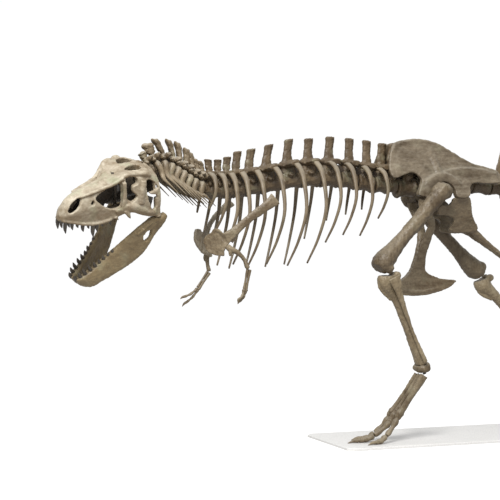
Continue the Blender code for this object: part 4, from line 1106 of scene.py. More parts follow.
NOSTRIL = oval((0.170, 0.124), 0.098, 0.036, 42)
ANTORBITAL = [(0.412, 0.172), (0.487, 0.216), (0.580, 0.250), (0.650, 0.282), (0.692, 0.316),
              (0.700, 0.090), (0.640, 0.040), (0.560, 0.050), (0.460, 0.112)]
ORBIT = [(0.738, 0.370), (0.848, 0.368), (0.858, 0.305), (0.810, 0.282), (0.808, 0.222),
         (0.854, 0.171), (0.800, 0.112), (0.736, 0.165), (0.730, 0.270)]
CHEEK_WINDOW = [(0.965, 0.330), (1.040, 0.318), (1.115, 0.262), (1.122, 0.215),
                (1.010, 0.200), (1.022, 0.176), (1.105, 0.150), (1.112, 0.040),
                (1.085, -0.008), (1.035, 0.020), (0.970, 0.170)]
MAXILLARY = oval((0.372, 0.128), 0.026, 0.020, 60)
UPPER_WINDOW = [(0.880, 0.055), (1.045, 0.045), (1.040, 0.135), (0.960, 0.165),
                (0.885, 0.130)]
# How far back the window in the roof lies, on each side: the skull is a little crushed.
ROOF_SHIFT = {-1.0: -0.020, 1.0: -0.055}
# Each window through a cheek, and how far out its cutter starts.
WINDOWS = [(ANTORBITAL, 0.030), (ORBIT, 0.130), (CHEEK_WINDOW, 0.145), (MAXILLARY, 0.070)]
# Hollows before the cheek window, round the small hole and in the horn: behind, out and up,
# and half sizes.
DENTS = [((0.450, 0.206, 0.105), (0.130, 0.055, 0.080)),
         ((0.372, 0.186, 0.128), (0.052, 0.052, 0.045)),
         ((0.770, 0.160, 0.442), (0.036, 0.026, 0.044))]


def skull_turn():
    """Turns a form's own X, Y, Z to behind, left and up of the skull."""
    rows = (-SKULL_FRONT, SKULL_LEFT, SKULL_UP)
    return Matrix(rows).transposed().to_4x4()


def skull_run(rows, sides, fine=0):
    """A form along rows of skull places: behind, left, up, half width, half depth."""
    stations = [(*skull_place(*row[:3]), row[3], row[4]) for row in rows]
    return bone_run(stations, sides, SKULL_LEFT, fine)


def side_forms(side, forms):
    """The forms of a table on one side: rows as in skull_run but out for left, how many
    sides, and how many rings."""
    return [skull_run([(b, side * y, z, wide, deep) for b, y, z, wide, deep in rows], sides, fine)
            for rows, sides, fine in forms]


def skull_shell():
    shell = rings_form([skull_ring(s) for s in curve_through(SKULL_SECTIONS, 34)])
    cutters = [rings_form([skull_ring(s) for s in HOLLOW_SECTIONS]),
               rings_form([skull_ring(s) for s in NOSE_SECTIONS]),
               skull_cutter(NOSTRIL, -0.4, 0.4)]
    for side in SKULL_SIDES:
        outline = [(b + ROOF_SHIFT[side], y) for b, y in UPPER_WINDOW]
        outline = curve_through(outline, 20, closed=True)
        cutters.append(rings_form([[skull_place(b, side * y, z) for b, y in outline]
                                   for z in (0.25, 0.60)]))
        cutters += [skull_cutter(window, side * start, side * 0.6) for window, start in WINDOWS]
        cutters += [knob(skull_place(b, side * y, z), sizes, skull_turn())
                    for (b, y, z), sizes in DENTS]
    return carve(shell, cutters)


SKULL_SIDE_FORMS = [
    # The horn before the eye and the boss behind it.
    ([(0.690, 0.150, 0.345, 0.020, 0.018), (0.725, 0.176, 0.396, 0.028, 0.026),
      (0.790, 0.192, 0.410, 0.030, 0.028), (0.860, 0.205, 0.400, 0.026, 0.024)], 10, 10),
    ([(0.870, 0.205, 0.400, 0.024, 0.026), (0.950, 0.232, 0.402, 0.034, 0.034),
      (1.030, 0.240, 0.370, 0.026, 0.026)], 10, 10),
    # The ridge from the nostril back to the horn.
    ([(0.240, 0.074, 0.206, 0.014, 0.014), (0.360, 0.088, 0.232, 0.018, 0.018),
      (0.500, 0.104, 0.262, 0.020, 0.020), (0.620, 0.136, 0.306, 0.022, 0.022),
      (0.710, 0.178, 0.372, 0.024, 0.024)], 10, 14),
    # The bar before the eye socket, the cheek bar below it and the bar behind it.
    ([(0.705, 0.205, 0.330, 0.018, 0.024), (0.716, 0.222, 0.200, 0.020, 0.022),
      (0.705, 0.240, 0.060, 0.020, 0.030), (0.690, 0.236, 0.020, 0.018, 0.030)], 10, 10),
    ([(0.640, 0.205, -0.005, 0.018, 0.035), (0.760, 0.268, 0.060, 0.022, 0.045),
      (0.880, 0.302, 0.030, 0.020, 0.045), (1.000, 0.322, -0.020, 0.018, 0.032),
      (1.100, 0.335, -0.045, 0.016, 0.022)], 10, 14),
    ([(0.930, 0.262, 0.330, 0.020, 0.030), (0.905, 0.292, 0.220, 0.022, 0.034),
      (0.900, 0.306, 0.090, 0.020, 0.030)], 10, 10),
    # The spur below the cheek bar and the small one before it.
    ([(0.725, 0.262, 0.030, 0.016, 0.036), (0.755, 0.278, -0.025, 0.013, 0.024),
      (0.778, 0.290, -0.066, 0.006, 0.008)], 8, 8),
    ([(0.640, 0.208, -0.050, 0.012, 0.022), (0.682, 0.214, -0.096, 0.005, 0.007)], 8, 0),
    # The bar down to the jaw's joint.
    ([(1.115, 0.292, 0.120, 0.026, 0.026), (1.150, 0.305, -0.060, 0.042, 0.035),
      (1.155, 0.305, -0.104, 0.050, 0.040)], 10, 0),
    # The rim above the upper teeth.
    ([(0.050, 0.052, -0.034, 0.012, 0.016), (0.150, 0.094, -0.052, 0.014, 0.018),
      (0.268, 0.120, -0.086, 0.016, 0.020), (0.394, 0.140, -0.106, 0.016, 0.022),
      (0.514, 0.164, -0.102, 0.015, 0.022), (0.600, 0.188, -0.078, 0.012, 0.018)], 10, 16),
]
# Rough lumps along the top of the nose: behind, height and size.
NOSE_LUMPS = [(0.12, 0.142, 0.018), (0.18, 0.192, 0.020), (0.26, 0.224, 0.020),
              (0.33, 0.242, 0.022), (0.41, 0.254, 0.020), (0.48, 0.268, 0.022),
              (0.55, 0.286, 0.020), (0.61, 0.306, 0.020)]
# The outline of the skull's rear wall, seen from behind.
REAR_WALL = [(-0.275, 0.215), (-0.255, 0.290), (-0.200, 0.335), (0.0, 0.385), (0.200, 0.335),
             (0.255, 0.290), (0.275, 0.215), (0.180, 0.130), (0.070, 0.095), (-0.070, 0.095),
             (-0.180, 0.130)]


def is_inside(point):
    """Whether a point of the skull lies on the inner side of its wall."""
    arm = point - SNOUT
    out, height = abs(arm.dot(SKULL_LEFT)), arm.dot(SKULL_UP)
    row = row_at(SKULL_SECTIONS, -arm.dot(SKULL_FRONT))
    if not row or height > row[6] - WALL * 1.6:
        return False
    edges = [(row[2], row[1]), (row[4], row[3]), (row[6], row[5])]
    for (z0, y0), (z1, y1) in zip(edges, edges[1:]):
        if z0 <= height <= z1:
            return out < y0 + (y1 - y0) * (height - z0) / (z1 - z0) - WALL * 1.5
    return out < row[1] - WALL * 1.5


def paint_shade_inside(skull):
    """Gives the skull's inner faces a near black brown: painted shade inside the skull."""
    skull.data.materials.append(INNER_SHADE_BONE)
    for face in skull.data.polygons:
        face.material_index = 1 if is_inside(face.center + BOX_MIDDLE) else 0


def build_skull():
    parts = [skull_shell()]
    for side in SKULL_SIDES:
        parts += side_forms(side, SKULL_SIDE_FORMS)
    for behind, height, size in NOSE_LUMPS:
        parts.append(knob(skull_place(behind, 0.0, height - 0.006), (size * 1.5, size * 1.2, size)))
    # The crest between the windows in the roof, the knob for the neck and the rear wall.
    parts.append(skull_run([(0.830, 0, 0.400, 0.016, 0.020), (0.960, 0, 0.428, 0.018, 0.022),
                            (1.090, 0, 0.420, 0.030, 0.022)], 10, 8))
    parts.append(skull_run([(1.06, 0, 0.225, 0.055, 0.050), (1.115, 0, 0.205, 0.040, 0.040)], 12))
    drawn = curve_through(REAR_WALL, 30, closed=True)
    parts.append(rings_form([[skull_place(b, y, z) for y, z in drawn] for b in (1.082, 1.106)]))
    skull = worn(parts, "skull")
    finish("skull_bone", skull, SKULL_BONE, "skull")
    paint_shade_inside(skull)
    build_skull_inside()


INNER_SIDE_FORMS = [
    # The palate.
    ([(0.32, 0.050, -0.050, 0.030, 0.012), (0.50, 0.075, -0.030, 0.045, 0.012),
      (0.70, 0.100, 0.000, 0.060, 0.014), (0.88, 0.130, 0.010, 0.060, 0.014),
      (1.02, 0.190, 0.000, 0.050, 0.018)], 12, 14),
    # The strut in the cheek, and the wing from the palate back to the jaw's joint.
    ([(0.700, 0.070, 0.280, 0.014, 0.020), (0.728, 0.066, 0.130, 0.016, 0.018),
      (0.752, 0.062, -0.030, 0.018, 0.022)], 10, 10),
    ([(0.800, 0.100, 0.020, 0.009, 0.080), (0.950, 0.180, 0.030, 0.009, 0.115),
      (1.090, 0.262, 0.010, 0.010, 0.105)], 12, 10),
]


def build_skull_inside():
    """The walls seen through the skull's windows, the palate and the brain's case, in the near
    black brown of painted shade.
    """
    parts = [skull_run([(0.42, 0.0, 0.07, 0.014, 0.09), (0.55, 0.0, 0.11, 0.016, 0.12),
                        (0.68, 0.0, 0.12, 0.016, 0.14), (0.76, 0.0, 0.06, 0.018, 0.07),
                        (0.90, 0.0, 0.06, 0.030, 0.07)], 12, 14),
             skull_run([(0.66, 0.0, 0.23, 0.014, 0.04), (0.78, 0.0, 0.265, 0.016, 0.04),
                        (0.92, 0.0, 0.260, 0.030, 0.06)], 10, 8),
             skull_run([(0.87, 0.0, 0.17, 0.040, 0.11), (0.95, 0.0, 0.18, 0.085, 0.15),
                        (1.05, 0.0, 0.19, 0.100, 0.16), (1.10, 0.0, 0.20, 0.070, 0.13)], 14, 10)]
    for side in SKULL_SIDES:
        parts += side_forms(side, INNER_SIDE_FORMS)
    finish("skull_inside", worn(parts, "jaw"), INNER_SHADE_BONE)


# Upper teeth: behind the snout, how far out, length, half width.
UPPER_TEETH = [(0.052, 0.042, 0.075, 0.021), (0.085, 0.068, 0.135, 0.026),
               (0.118, 0.080, 0.060, 0.018), (0.156, 0.090, 0.085, 0.024),
               (0.215, 0.103, 0.050, 0.022), (0.280, 0.117, 0.085, 0.026),
               (0.345, 0.128, 0.050, 0.020), (0.408, 0.136, 0.150, 0.030),
               (0.452, 0.144, 0.095, 0.024), (0.510, 0.156, 0.045, 0.018),
               (0.600, 0.180, 0.065, 0.016)]
# Lower teeth: ahead of the hinge, length.
LOWER_TEETH = [(1.085, 0.060), (1.035, 0.090), (0.975, 0.105), (0.905, 0.095),
               (0.840, 0.080), (0.780, 0.060), (0.720, 0.062), (0.660, 0.040),
               (0.600, 0.042)]


def margin_height(behind):
    """The height of the tooth margin at a distance behind the snout."""
    return row_at(SKULL_SECTIONS, behind)[2]


def tooth(root, tip, hook, size):
    """A tapering tooth, curved backwards by hook."""
    middle = root.lerp(tip, 0.55) - hook * 0.35
    rows = [(*root, size, size * 0.8), (*middle, size * 0.82, size * 0.66),
            (*(root.lerp(tip, 0.85) - hook * 0.12), size * 0.42, size * 0.36),
            (*tip, size * 0.10, size * 0.10)]
    return bone_run(rows, 8, across=(1, 0.3, 0), fine=9)


def build_upper_teeth():
    made = []
    hook = SKULL_FRONT * -0.022
    for side in SKULL_SIDES:
        for behind, out, length, wide in UPPER_TEETH:
            margin = margin_height(behind)
            root = skull_place(behind, side * (out - 0.012), margin + 0.022)
            tip = skull_place(behind + 0.012, side * (out - 0.004), margin - length)
            made.append(tooth(root, tip, hook, wide))
    finish("upper_teeth", join(made), TOOTH)


# Lower jaw sections: ahead of the hinge, out from the middle, height of the upper and
# lower edges, half thickness.
JAW_SECTIONS = [
    (-0.085, 0.305, -0.045, -0.100, 0.022), (-0.010, 0.305, -0.016, -0.120, 0.036),
    (0.065, 0.303, 0.046, -0.130, 0.028), (0.170, 0.288, 0.050, -0.150, 0.022),
    (0.350, 0.242, 0.020, -0.232, 0.024), (0.500, 0.195, -0.008, -0.262, 0.028),
    (0.640, 0.155, -0.024, -0.250, 0.032), (0.780, 0.122, -0.030, -0.224, 0.034),
    (0.920, 0.090, -0.022, -0.208, 0.036), (1.030, 0.062, 0.000, -0.180, 0.038),
    (1.095, 0.030, 0.026, -0.090, 0.024),
]
# How far each half leans out towards its lower edge, and how deep it is: it is a little
# crushed. The lean fades out at the jaw's ends.
JAW_LEANS = {1.0: 0.032, -1.0: -0.004}
JAW_DEPTHS = {1.0: 1.0, -1.0: 1.13}
JAW_FADE, JAW_TIP = 0.3, 1.05
JAW_SLOT = [(0.150, -0.062), (0.205, -0.036), (0.275, -0.075), (0.278, -0.140), (0.205, -0.130)]
JAW_SHELF = [(0.02, 0.325, 0.010), (0.16, 0.308, 0.020), (0.30, 0.268, 0.004)]


def jaw_lean(ahead, side):
    return JAW_LEANS[side] * clamped(ahead / JAW_FADE, (JAW_TIP - ahead) / JAW_FADE)


def jaw_body(side):
    """One half of the jaw with its slot cut through."""
    rings = []
    for ahead, out, top, bottom, thick in curve_through(JAW_SECTIONS, 30):
        bottom = top + (bottom - top) * blend(1.0, JAW_DEPTHS[side], (ahead - 0.35) / 0.25)
        middle = (top + bottom) / 2
        inner, outer = max(out - thick, 0.002), out + thick
        lean = jaw_lean(ahead, side)
        section = [(outer + lean, bottom), (outer + 0.012, middle), (outer - lean, top),
                   (inner - lean, top), (inner + 0.008, middle), (inner + lean, bottom)]
        drawn = curve_through(section, 18, closed=True)
        rings.append([jaw_place(ahead, side * y, z) for y, z in drawn])
    drawn = curve_through(JAW_SLOT, 16, closed=True)
    cutter = rings_form([[jaw_place(a, side * y, z) for a, z in drawn] for y in (0.12, 0.45)])
    return carve(rings_form(rings), [cutter])


def build_jaw(side):
    """One half of the lower jaw, and its teeth."""
    shelf = bone_run([(*jaw_place(a, side * y, z), 0.014, 0.014) for a, y, z in JAW_SHELF],
                     8, SKULL_LEFT, 8)
    word = SKULL_SIDES[side]
    finish_bone("jaw_" + word, [jaw_body(side), shelf], "jaw", JAW_BONE)
    teeth = []
    hook = (jaw_place(0, 0, 0) - jaw_place(1, 0, 0)) * 0.015
    for ahead, length in LOWER_TEETH:
        row = row_at(JAW_SECTIONS, ahead)
        out, top = row[1] - jaw_lean(ahead, side), row[2]
        teeth.append(tooth(jaw_place(ahead, side * (out + 0.004), top - 0.02),
                           jaw_place(ahead - 0.012, side * (out + 0.010), top + length),
                           hook, 0.024))
    finish("lower_teeth_" + word, join(teeth), TOOTH)


# ---------------------------------------------------------------- arms

SHOULDER_LINES = {
    LEFT: [
        (-2.290, -0.585, 2.765, 0.022, 0.078), (-2.370, -0.590, 2.700, 0.022, 0.060),
        (-2.610, -0.588, 2.525, 0.022, 0.044), (-2.745, -0.575, 2.405, 0.026, 0.050),
        (-2.830, -0.550, 2.320, 0.026, 0.075),
    ],
    RIGHT: [
        (-2.400, 0.585, 2.815, 0.022, 0.066), (-2.480, 0.590, 2.735, 0.022, 0.046),
        (-2.600, 0.575, 2.640, 0.022, 0.032), (-2.690, 0.540, 2.520, 0.024, 0.032),
        (-2.770, 0.470, 2.390, 0.026, 0.045),
    ],
}
# The ragged plates at the blades' lower ends, drawn round from the front.
SHOULDER_PLATES = {
    LEFT: [
        (-3.032, -0.360, 2.331), (-3.027, -0.370, 2.221), (-2.980, -0.430, 2.157),
        (-2.873, -0.530, 2.130), (-2.869, -0.540, 2.186), (-2.833, -0.560, 2.248),
        (-2.790, -0.575, 2.300), (-2.745, -0.585, 2.345), (-2.793, -0.585, 2.410),
        (-2.836, -0.575, 2.383), (-2.880, -0.550, 2.377), (-2.916, -0.510, 2.420),
        (-2.957, -0.460, 2.422), (-2.980, -0.430, 2.384),
    ],
    RIGHT: [
        (-2.957, 0.260, 2.375), (-2.935, 0.280, 2.455), (-2.876, 0.330, 2.463),
        (-2.840, 0.360, 2.431), (-2.793, 0.400, 2.430), (-2.738, 0.450, 2.380),
        (-2.700, 0.470, 2.260), (-2.690, 0.460, 2.149), (-2.750, 0.420, 2.166),
        (-2.839, 0.360, 2.196), (-2.934, 0.280, 2.292),
    ],
}
ARM_POINTS = {
    LEFT: ((-2.850, -0.585, 2.240), (-2.620, -0.640, 1.995), (-2.655, -0.615, 1.775)),
    RIGHT: ((-2.720, 0.545, 2.205), (-2.700, 0.520, 1.975), (-2.845, 0.470, 1.785)),
}
FINGER_TIPS = {
    LEFT: ((-2.755, -0.655, 1.640), (-2.730, -0.590, 1.612)),
    RIGHT: ((-3.080, 0.420, 1.655), (-3.035, 0.500, 1.565)),
}


def build_shoulder(side):
    """The blade along the ribs, grown together with the plate at its lower end."""
    run = bone_run(SHOULDER_LINES[side], 14, across=(0.25, -side, 0.1), fine=24)
    outward = Vector((-0.45, side * 0.89, 0.0)) * 0.020
    drawn = [Vector(row) for row in curve_through(SHOULDER_PLATES[side], 52, closed=True)]
    plate = rings_form([[point - outward for point in drawn], [point + outward for point in drawn]])
    # The right shoulder takes the paler finish: painted light.
    finish_bone("scapula_" + WORDS[side], [run, plate], "shoulder",
                HIP_BONE if side == LEFT else PAINTED_LIGHT_PLATE_BONE)


# The forearm's two bones: how far each lies from the middle line, and its half thickness.
FOREARM = (("ulna", 0.0140, 0.0185), ("radius", -0.0160, 0.0155))


def build_arm(side):
    word = WORDS[side]
    build_shoulder(side)
    top, elbow, wrist = (Vector(p) for p in ARM_POINTS[side])
    low = elbow + (top - elbow).normalized() * 0.004
    bow = Vector((0.026, 0, 0.020)) if side == LEFT else Vector((-0.006, 0, 0))
    shaft = bone_run([
        (*top, 0.026, 0.028), (*top.lerp(low, 0.14), 0.032, 0.036),
        (*(top.lerp(low, 0.38) + bow), 0.026, 0.027), (*(top.lerp(low, 0.68) + bow), 0.023, 0.022),
        (*top.lerp(low, 0.92), 0.034, 0.026), (*low, 0.030, 0.020)], 12, (0.3, 1, 0), 18)
    crest = knob(top.lerp(low, 0.24) + Vector((-0.026, side * 0.006, -0.01)), (0.020, 0.016, 0.045))
    finish_bone("humerus_" + word, [shaft, crest], "upper arm", LIMB_BONE)
    down = (wrist - elbow).normalized()
    across = down.cross(Vector((0, 1, 0))).normalized()
    if across.x < 0:
        across = -across
    for bone, place, thick in FOREARM:
        start = elbow + down * 0.008 + across * place
        end = wrist + across * place * 0.85
        item = bone_run([
            (*start, thick, thick), (*start.lerp(end, 0.25), thick * 0.86, thick * 0.88),
            (*start.lerp(end, 0.7), thick * 0.74, thick * 0.78), (*end, thick, thick)],
            10, fine=12)
        finish_bone(f"{bone}_{word}", [item], "forearm", LIMB_BONE)
    build_hand(side, wrist, down)


# A finger bone: half thickness at each share of its length.
FINGER_BONE = ((0.00, 0.8), (0.12, 1.0), (0.5, 0.70), (0.86, 1.0), (0.99, 0.8))


def build_hand(side, wrist, down):
    """The wrist and two clawed fingers, bone by bone."""
    start = wrist + down * 0.002
    parts = [knob(start + down * 0.012 + Vector((x, 0, 0)), (0.020, 0.022, 0.016))
             for x in (-0.014, 0.014)]
    for spread, tip in zip((-1, 1), FINGER_TIPS[side]):
        tip = Vector(tip)
        root = start + down * 0.024 + Vector((spread * 0.012, 0, 0))
        knuckle = root.lerp(tip, 0.42) + Vector((0.012, 0, -0.006))
        joint = root.lerp(tip, 0.70) + Vector((0.006, 0, 0.0))
        for a, b, size in ((root, knuckle, 0.0185), (knuckle, joint, 0.0170)):
            parts.append(bone_run([(*a.lerp(b, t), size * r, size * r) for t, r in FINGER_BONE],
                                  8, fine=9))
        hook = joint.lerp(tip, 0.5) + Vector((-0.006, 0, 0.006))
        parts.append(bone_run([(*joint, 0.015, 0.017), (*hook, 0.011, 0.014), (*tip, 0.002, 0.003)],
                              8, fine=8))
    finish_bone("hand_" + WORDS[side], parts, "hand", LIMB_BONE, "_bones")


# ---------------------------------------------------------------- legs

KNEES = {LEFT: Vector((-0.940, -0.500, 2.085)), RIGHT: Vector((0.850, 0.440, 2.015))}
ANKLES = {LEFT: Vector((-0.390, -0.385, 0.895)), RIGHT: Vector((1.700, 0.420, 1.090))}
TOE_ROOTS = {LEFT: Vector((-0.700, -0.240, 0.255)), RIGHT: Vector((1.790, 0.375, 0.430))}
FEMUR_RADIUS = 0.086
FOOT_SPREAD = {"inner": -1, "middle": 0, "outer": 1}
TOE_SPACING = 0.098


def ahead_of(along):
    """The direction to the animal's front, square to a bone."""
    front = Vector((-1, 0, 0))
    return (front - along * front.dot(along)).normalized()


def build_femur(side):
    knee = KNEES[side]
    hip = Vector((0.0, side * HIP_HALF_WIDTH, HIP_HEIGHT))
    head = hip + Vector((-0.025, 0, 0))
    top = hip + Vector((-0.110, side * 0.140, 0.010))
    end = knee + (knee - top).normalized() * 0.105
    along = (end - top).normalized()
    front = ahead_of(along)
    out = Vector((0, side, 0))
    r = FEMUR_RADIUS
    parts = [bone_run([
        (*(top - along * 0.060), r * 0.70, r * 0.75), (*(top - along * 0.035), r * 0.95, r * 1.00),
        (*top, r * 1.08, r * 1.16), (*top.lerp(end, 0.16), r * 0.98, r * 1.10),
        (*top.lerp(end, 0.42), r * 0.94, r * 0.94), (*top.lerp(end, 0.70), r * 1.00, r * 0.98),
        (*top.lerp(end, 0.87), r * 1.55, r * 1.35), (*top.lerp(end, 0.95), r * 1.55, r * 1.35),
        (*end, r * 1.15, r * 0.95)], 16, fine=30)]
    parts.append(bone_run([
        (*(top + Vector((0.03, 0, -0.020))), 0.075, 0.085),
        (*(head + out * 0.030), 0.094, 0.096), (*(head - out * 0.050), 0.098, 0.098),
        (*(head - out * 0.085), 0.062, 0.062)], 16, across=ACROSS_X, fine=12))
    # The knob at the front of the top, the ridge at the rear of the shaft.
    parts.append(bone_run([(*(top + front * 0.085 - along * 0.02), 0.030, 0.022),
                           (*(top + front * 0.095 + along * 0.07), 0.036, 0.028),
                           (*(top + front * 0.060 + along * 0.17), 0.024, 0.020)], 10, fine=8))
    parts.append(bone_run([(*(top.lerp(end, t) - front * h - out * 0.02), 0.022, 0.026) for t, h in
                           ((0.34, 0.060), (0.42, 0.085), (0.52, 0.060))], 10, fine=8))
    for spread in (-1, 1):
        centre = end - along * 0.075 + out * spread * 0.062
        parts.append(bone_run([
            (*(centre + front * 0.070), 0.046, 0.050),
            (*(centre - front * 0.010 + along * 0.012), 0.056, 0.062),
            (*(centre - front * 0.095 - along * 0.010), 0.050, 0.062),
            (*(centre - front * 0.130 - along * 0.020), 0.030, 0.040)], 12, fine=10))
    finish_bone("femur_" + WORDS[side], parts, "thigh", THIGH_BONE)


def shin_ends(side):
    """The top and the bottom of the shin bone's middle line."""
    knee, ankle = KNEES[side], ANKLES[side]
    down = (ankle - knee).normalized()
    return knee + down * 0.165, ankle - down * 0.015


def build_shin(side):
    word = WORDS[side]
    top, end = shin_ends(side)
    down = (end - top).normalized()
    front = ahead_of(down)
    out = Vector((0, side, 0))
    crest = Vector((-0.035, 0, -0.02))
    parts = [bone_run([
        (*(top + crest * 0.4), 0.080, 0.104), (*(top.lerp(end, 0.06) + crest), 0.096, 0.118),
        (*(top.lerp(end, 0.16) + crest * 0.6), 0.074, 0.082), (*top.lerp(end, 0.32), 0.062, 0.058),
        (*top.lerp(end, 0.65), 0.058, 0.054), (*top.lerp(end, 0.88), 0.076, 0.060),
        (*end, 0.108, 0.060)], 16, fine=30)]
    parts.append(bone_run([(*(top + front * 0.110 + down * 0.02), 0.026, 0.030),
                           (*(top + front * 0.135 + down * 0.11), 0.026, 0.034),
                           (*(top + front * 0.070 + down * 0.29), 0.018, 0.024)], 10, fine=10))
    for spread in (-1, 1):
        parts.append(knob(top + out * spread * 0.048 - front * 0.075 + down * 0.045,
                          (0.052, 0.048, 0.048)))
    finish_bone("tibia_" + word, parts, "shin", SHIN_BONE)
    item = bone_run([
        (*(top.lerp(end, 0.03) + out * 0.134), 0.020, 0.080),
        (*(top.lerp(end, 0.12) + out * 0.130), 0.022, 0.060),
        (*(top.lerp(end, 0.30) + out * 0.106), 0.020, 0.032),
        (*(top.lerp(end, 0.65) + out * 0.090), 0.016, 0.019),
        (*(top.lerp(end, 0.980) + out * 0.136), 0.018, 0.026)], 12, fine=26)
    finish_bone("fibula_" + word, [item], "calf", SHIN_BONE)
    build_ankle(side, end, front)


def build_ankle(side, end, front):
    """The ankle's roller with its two rounded ends and the tongue up the shin."""
    down = (ANKLES[side] - KNEES[side]).normalized()
    start = end + down * 0.010
    out = Vector((0, side, 0))
    parts = [bone_run([
        (*start, 0.112, 0.074), (*(start + down * 0.030), 0.124, 0.090),
        (*(start + down * 0.070), 0.116, 0.082), (*(start + down * 0.092), 0.080, 0.048)], 16,
        fine=10)]
    for spread in (-1, 1):
        parts.append(knob(start + down * 0.050 + out * spread * 0.078 + front * 0.012,
                          (0.074, 0.048, 0.048)))
    finish_bone("ankle_" + WORDS[side], parts, "ankle", LIMB_BONE)


def foot_frame(side):
    """Where the three long foot bones start, and their directions down and outwards."""
    _, end = shin_ends(side)
    down = (ANKLES[side] - KNEES[side]).normalized()
    start = end + down * 0.155
    if side == LEFT:
        start += Vector((-0.055, 0, 0.0))
    return start, (TOE_ROOTS[side] - start).normalized(), Vector((0, side, 0))


def foot_bone_end(side, k):
    _, down, out = foot_frame(side)
    return TOE_ROOTS[side] + out * k * TOE_SPACING - down * (0.0 if k == 0 else 0.050)


TOE_LINES = {
    LEFT: [(0.030, 0.215), (0.110, 0.155), (0.215, 0.090), (0.325, 0.040), (0.400, 0.026),
           (0.480, 0.032), (0.575, 0.006)],
    RIGHT: [(0.012, 0.375), (0.085, 0.250), (0.190, 0.125), (0.310, 0.042), (0.385, 0.027),
            (0.470, 0.032), (0.550, 0.006)],
}
TOE_TURNS = {"inner": -14, "middle": 0, "outer": 14}
TOE_SIZES = {"inner": 0.82, "middle": 1.0, "outer": 0.80}
TOE_DROP = 0.007
TOE_SECTIONS = [0.038, 0.029, 0.031, 0.031, 0.025, 0.020, 0.004]
# A toe's bones: where each starts and ends along its line, as a share, and how thick a bone
# is from its start to its end.
TOE_BONES = [(0.00, 0.365), (0.37, 0.585), (0.59, 0.745)]
TOE_WAIST = (0.86, 1.10, 1.12, 0.94, 0.86, 0.92, 1.08, 1.08, 0.84)
# How many steps a toe's line has, and where its claw starts.
TOE_STEPS, CLAW_START = 60, 45


def build_foot_bone(side, which, root):
    """One of the three long bones of the foot."""
    start, down, out = foot_frame(side)
    k = FOOT_SPREAD[which]
    top = start + out * k * 0.074
    thick = 0.033
    deep = 0.048 if k else 0.043
    shaft = [bone_run([
        (*top, thick, deep * 1.06), (*top.lerp(root, 0.10), thick, deep * 1.02),
        (*(top.lerp(root, 0.50) + out * k * 0.004), thick * 0.88, deep * 0.74),
        (*top.lerp(root, 0.82), thick * 0.98, deep * 0.80),
        (*top.lerp(root, 0.93), 0.044, deep * 1.05), (*root, 0.038, deep * 0.80)], 12, fine=20)]
    shaft.append(knob(root, (0.042, 0.040, 0.046)))
    if which == "inner":
        splint = top.lerp(root, 0.52) + Vector((0.062, 0, 0.0))
        shaft.append(bone_run([(*(splint - down * 0.060), 0.012, 0.010), (*splint, 0.022, 0.018),
                               (*(splint + down * 0.065), 0.020, 0.016)], 10, fine=8))
    finish_bone(f"foot_bone_{which}_{WORDS[side]}", shaft, "foot", LIMB_BONE, "_shaft")


def toe_line(side, which, root):
    """A toe's middle line: x, y, z, half width and half height."""
    turn = math.radians(TOE_TURNS[which])
    ahead = Vector((-math.cos(turn), side * math.sin(turn), 0))
    lift = root.z - TOE_ROOTS[side].z
    line = []
    for n, ((reach, height), wide) in enumerate(zip(TOE_LINES[side], TOE_SECTIONS)):
        point = Vector((root.x, root.y, 0)) + ahead * reach * TOE_SIZES[which]
        point.z = height - min(n, 1) * TOE_DROP + lift * max(0.0, 1 - n / 3)
        line.append((*point, wide * 1.10, wide))
    return curve_through(line, TOE_STEPS + 1)


def build_toe(side, which, root):
    """A toe's bones, the knob at its root and its claw, none of them below the ground."""
    line = toe_line(side, which, root)
    parts = []
    for first, last in TOE_BONES:
        rows = line[int(first * TOE_STEPS):int(last * TOE_STEPS) + 1]
        shaped = []
        for n, waist in enumerate(TOE_WAIST):
            x, y, z, wide, tall = rows[round(n * (len(rows) - 1) / (len(TOE_WAIST) - 1))]
            shaped.append((x, y, max(z, tall * waist * 0.94), wide * waist, tall * waist))
        parts.append(bone_run(shaped, 12, fine=15))
    first = Vector(line[0][:3])
    size = TOE_SIZES[which]
    parts.append(knob(first.lerp(root, 0.35), (0.036 * size, 0.040 * size, 0.040 * size)))
    parts.append(bone_run([(x, y, max(z, tall * 0.9), wide * 0.92, tall)
                           for x, y, z, wide, tall in line[CLAW_START::3]], 12))
    finish_bone(f"toe_{which}_{WORDS[side]}", parts, "toe", LIMB_BONE, "_bones")


def build_legs():
    for side in (LEFT, RIGHT):
        build_femur(side)
        build_shin(side)
        for which, k in FOOT_SPREAD.items():
            root = foot_bone_end(side, k)
            build_foot_bone(side, which, root)
            build_toe(side, which, root)


def dress_solids():
    """Gives the solids that show as they are their finishes."""
    for name, material in (("ankle_pad_left", PAD), ("ankle_pad_right", PAD),
                           ("stand_base", BOARD)):
        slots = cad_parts[name].data.materials
        slots.clear()
        slots.append(material)


# ---------------------------------------------------------------- floor, light, camera

WHITE = (1.0, 1.0, 1.0, 1.0)
FLOOR_SIZE, FLOOR_DROP, FLOOR_GREY = 600.0, 0.002, (0.60, 0.60, 0.60, 1.0)
# How much the floor glows to the camera, how strongly the world lights the bones and how
# bright it is to the camera.
FLOOR_GLOW, FILL, BACKDROP = 0.66, 0.60, 1.02
KEY_PLACE, KEY_TARGET = Vector((-6.5, -7.5, 10.0)), Vector((-1.5, 0.0, 2.3))
KEY_SIZE, KEY_POWER, KEY_TINT = 5.0, 1400.0, (1.0, 0.98, 0.945)
CAMERA_PLACE = Vector((-6.47, -11.25, 1.83))
CAMERA_TILT, CAMERA_TURN = math.radians(91.855), math.radians(-20.0)
LENS, SENSOR = 75.6, 36.0


def to_camera(tree, amount):
    """An amount that only what the camera sees straight gets."""
    path = tree.nodes.new("ShaderNodeLightPath")
    return maths(tree, "MULTIPLY", path.outputs["Is Camera Ray"], amount)


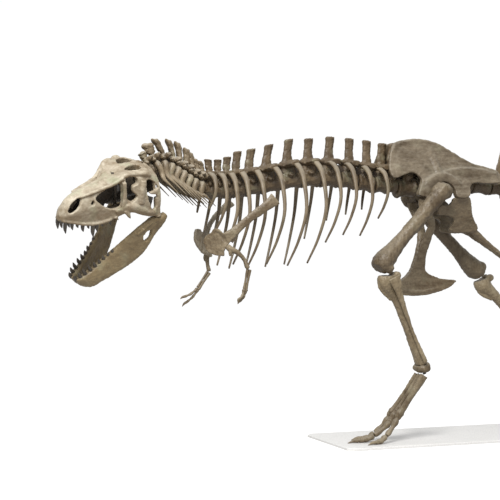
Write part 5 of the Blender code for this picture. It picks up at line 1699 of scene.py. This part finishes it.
def build_stage():
    deselect()
    bpy.ops.mesh.primitive_plane_add(size=FLOOR_SIZE, location=(0, 0, -FLOOR_DROP))
    floor = bpy.context.object
    floor.name = "floor"
    material = bpy.data.materials.new("pale_floor")
    material.use_nodes = True
    tree = material.node_tree
    shader = tree.nodes["Principled BSDF"]
    for label, value in (("Base Color", FLOOR_GREY), ("Roughness", 0.9),
                         ("Emission Color", WHITE),
                         ("Emission Strength", to_camera(tree, FLOOR_GLOW))):
        feed(tree, shader.inputs[label], value)
    floor.data.materials.append(material)


def build_light():
    """A white studio: a plain white world that lights the bones softly, and a key above."""
    world = bpy.data.worlds.new("studio")
    world.use_nodes = True
    bpy.context.scene.world = world
    bpy.context.scene.view_settings.view_transform = "Standard"
    tree = world.node_tree
    back = tree.nodes["Background"]
    feed(tree, back.inputs["Color"], WHITE)
    seen = to_camera(tree, BACKDROP - FILL)
    feed(tree, back.inputs["Strength"], maths(tree, "ADD", seen, FILL))
    light = bpy.data.lights.new("key", "AREA")
    light.shape = "DISK"
    light.size = KEY_SIZE
    light.energy = KEY_POWER
    light.color = KEY_TINT
    item = bpy.data.objects.new("key", light)
    item.location = KEY_PLACE
    item.rotation_euler = (KEY_TARGET - KEY_PLACE).to_track_quat("-Z", "Y").to_euler()
    bpy.context.scene.collection.objects.link(item)


def build_camera():
    data = bpy.data.cameras.new("camera")
    data.lens = LENS
    data.sensor_width = SENSOR
    item = bpy.data.objects.new("camera", data)
    item.location = CAMERA_PLACE - BOX_MIDDLE
    item.rotation_euler = (CAMERA_TILT, 0.0, CAMERA_TURN)
    bpy.context.scene.collection.objects.link(item)
    bpy.context.scene.camera = item


# ---------------------------------------------------------------- the whole scene

build_skull()
build_upper_teeth()
for jaw_side in (1.0, -1.0):
    build_jaw(jaw_side)
build_neck()
build_trunk()
build_sacrum()
build_pubis()
for body_side in (LEFT, RIGHT):
    build_ilium(body_side)
    build_ischium(body_side)
    build_arm(body_side)
build_tail()
build_discs()
build_legs()
dress_solids()
build_stage()
build_light()
build_camera()
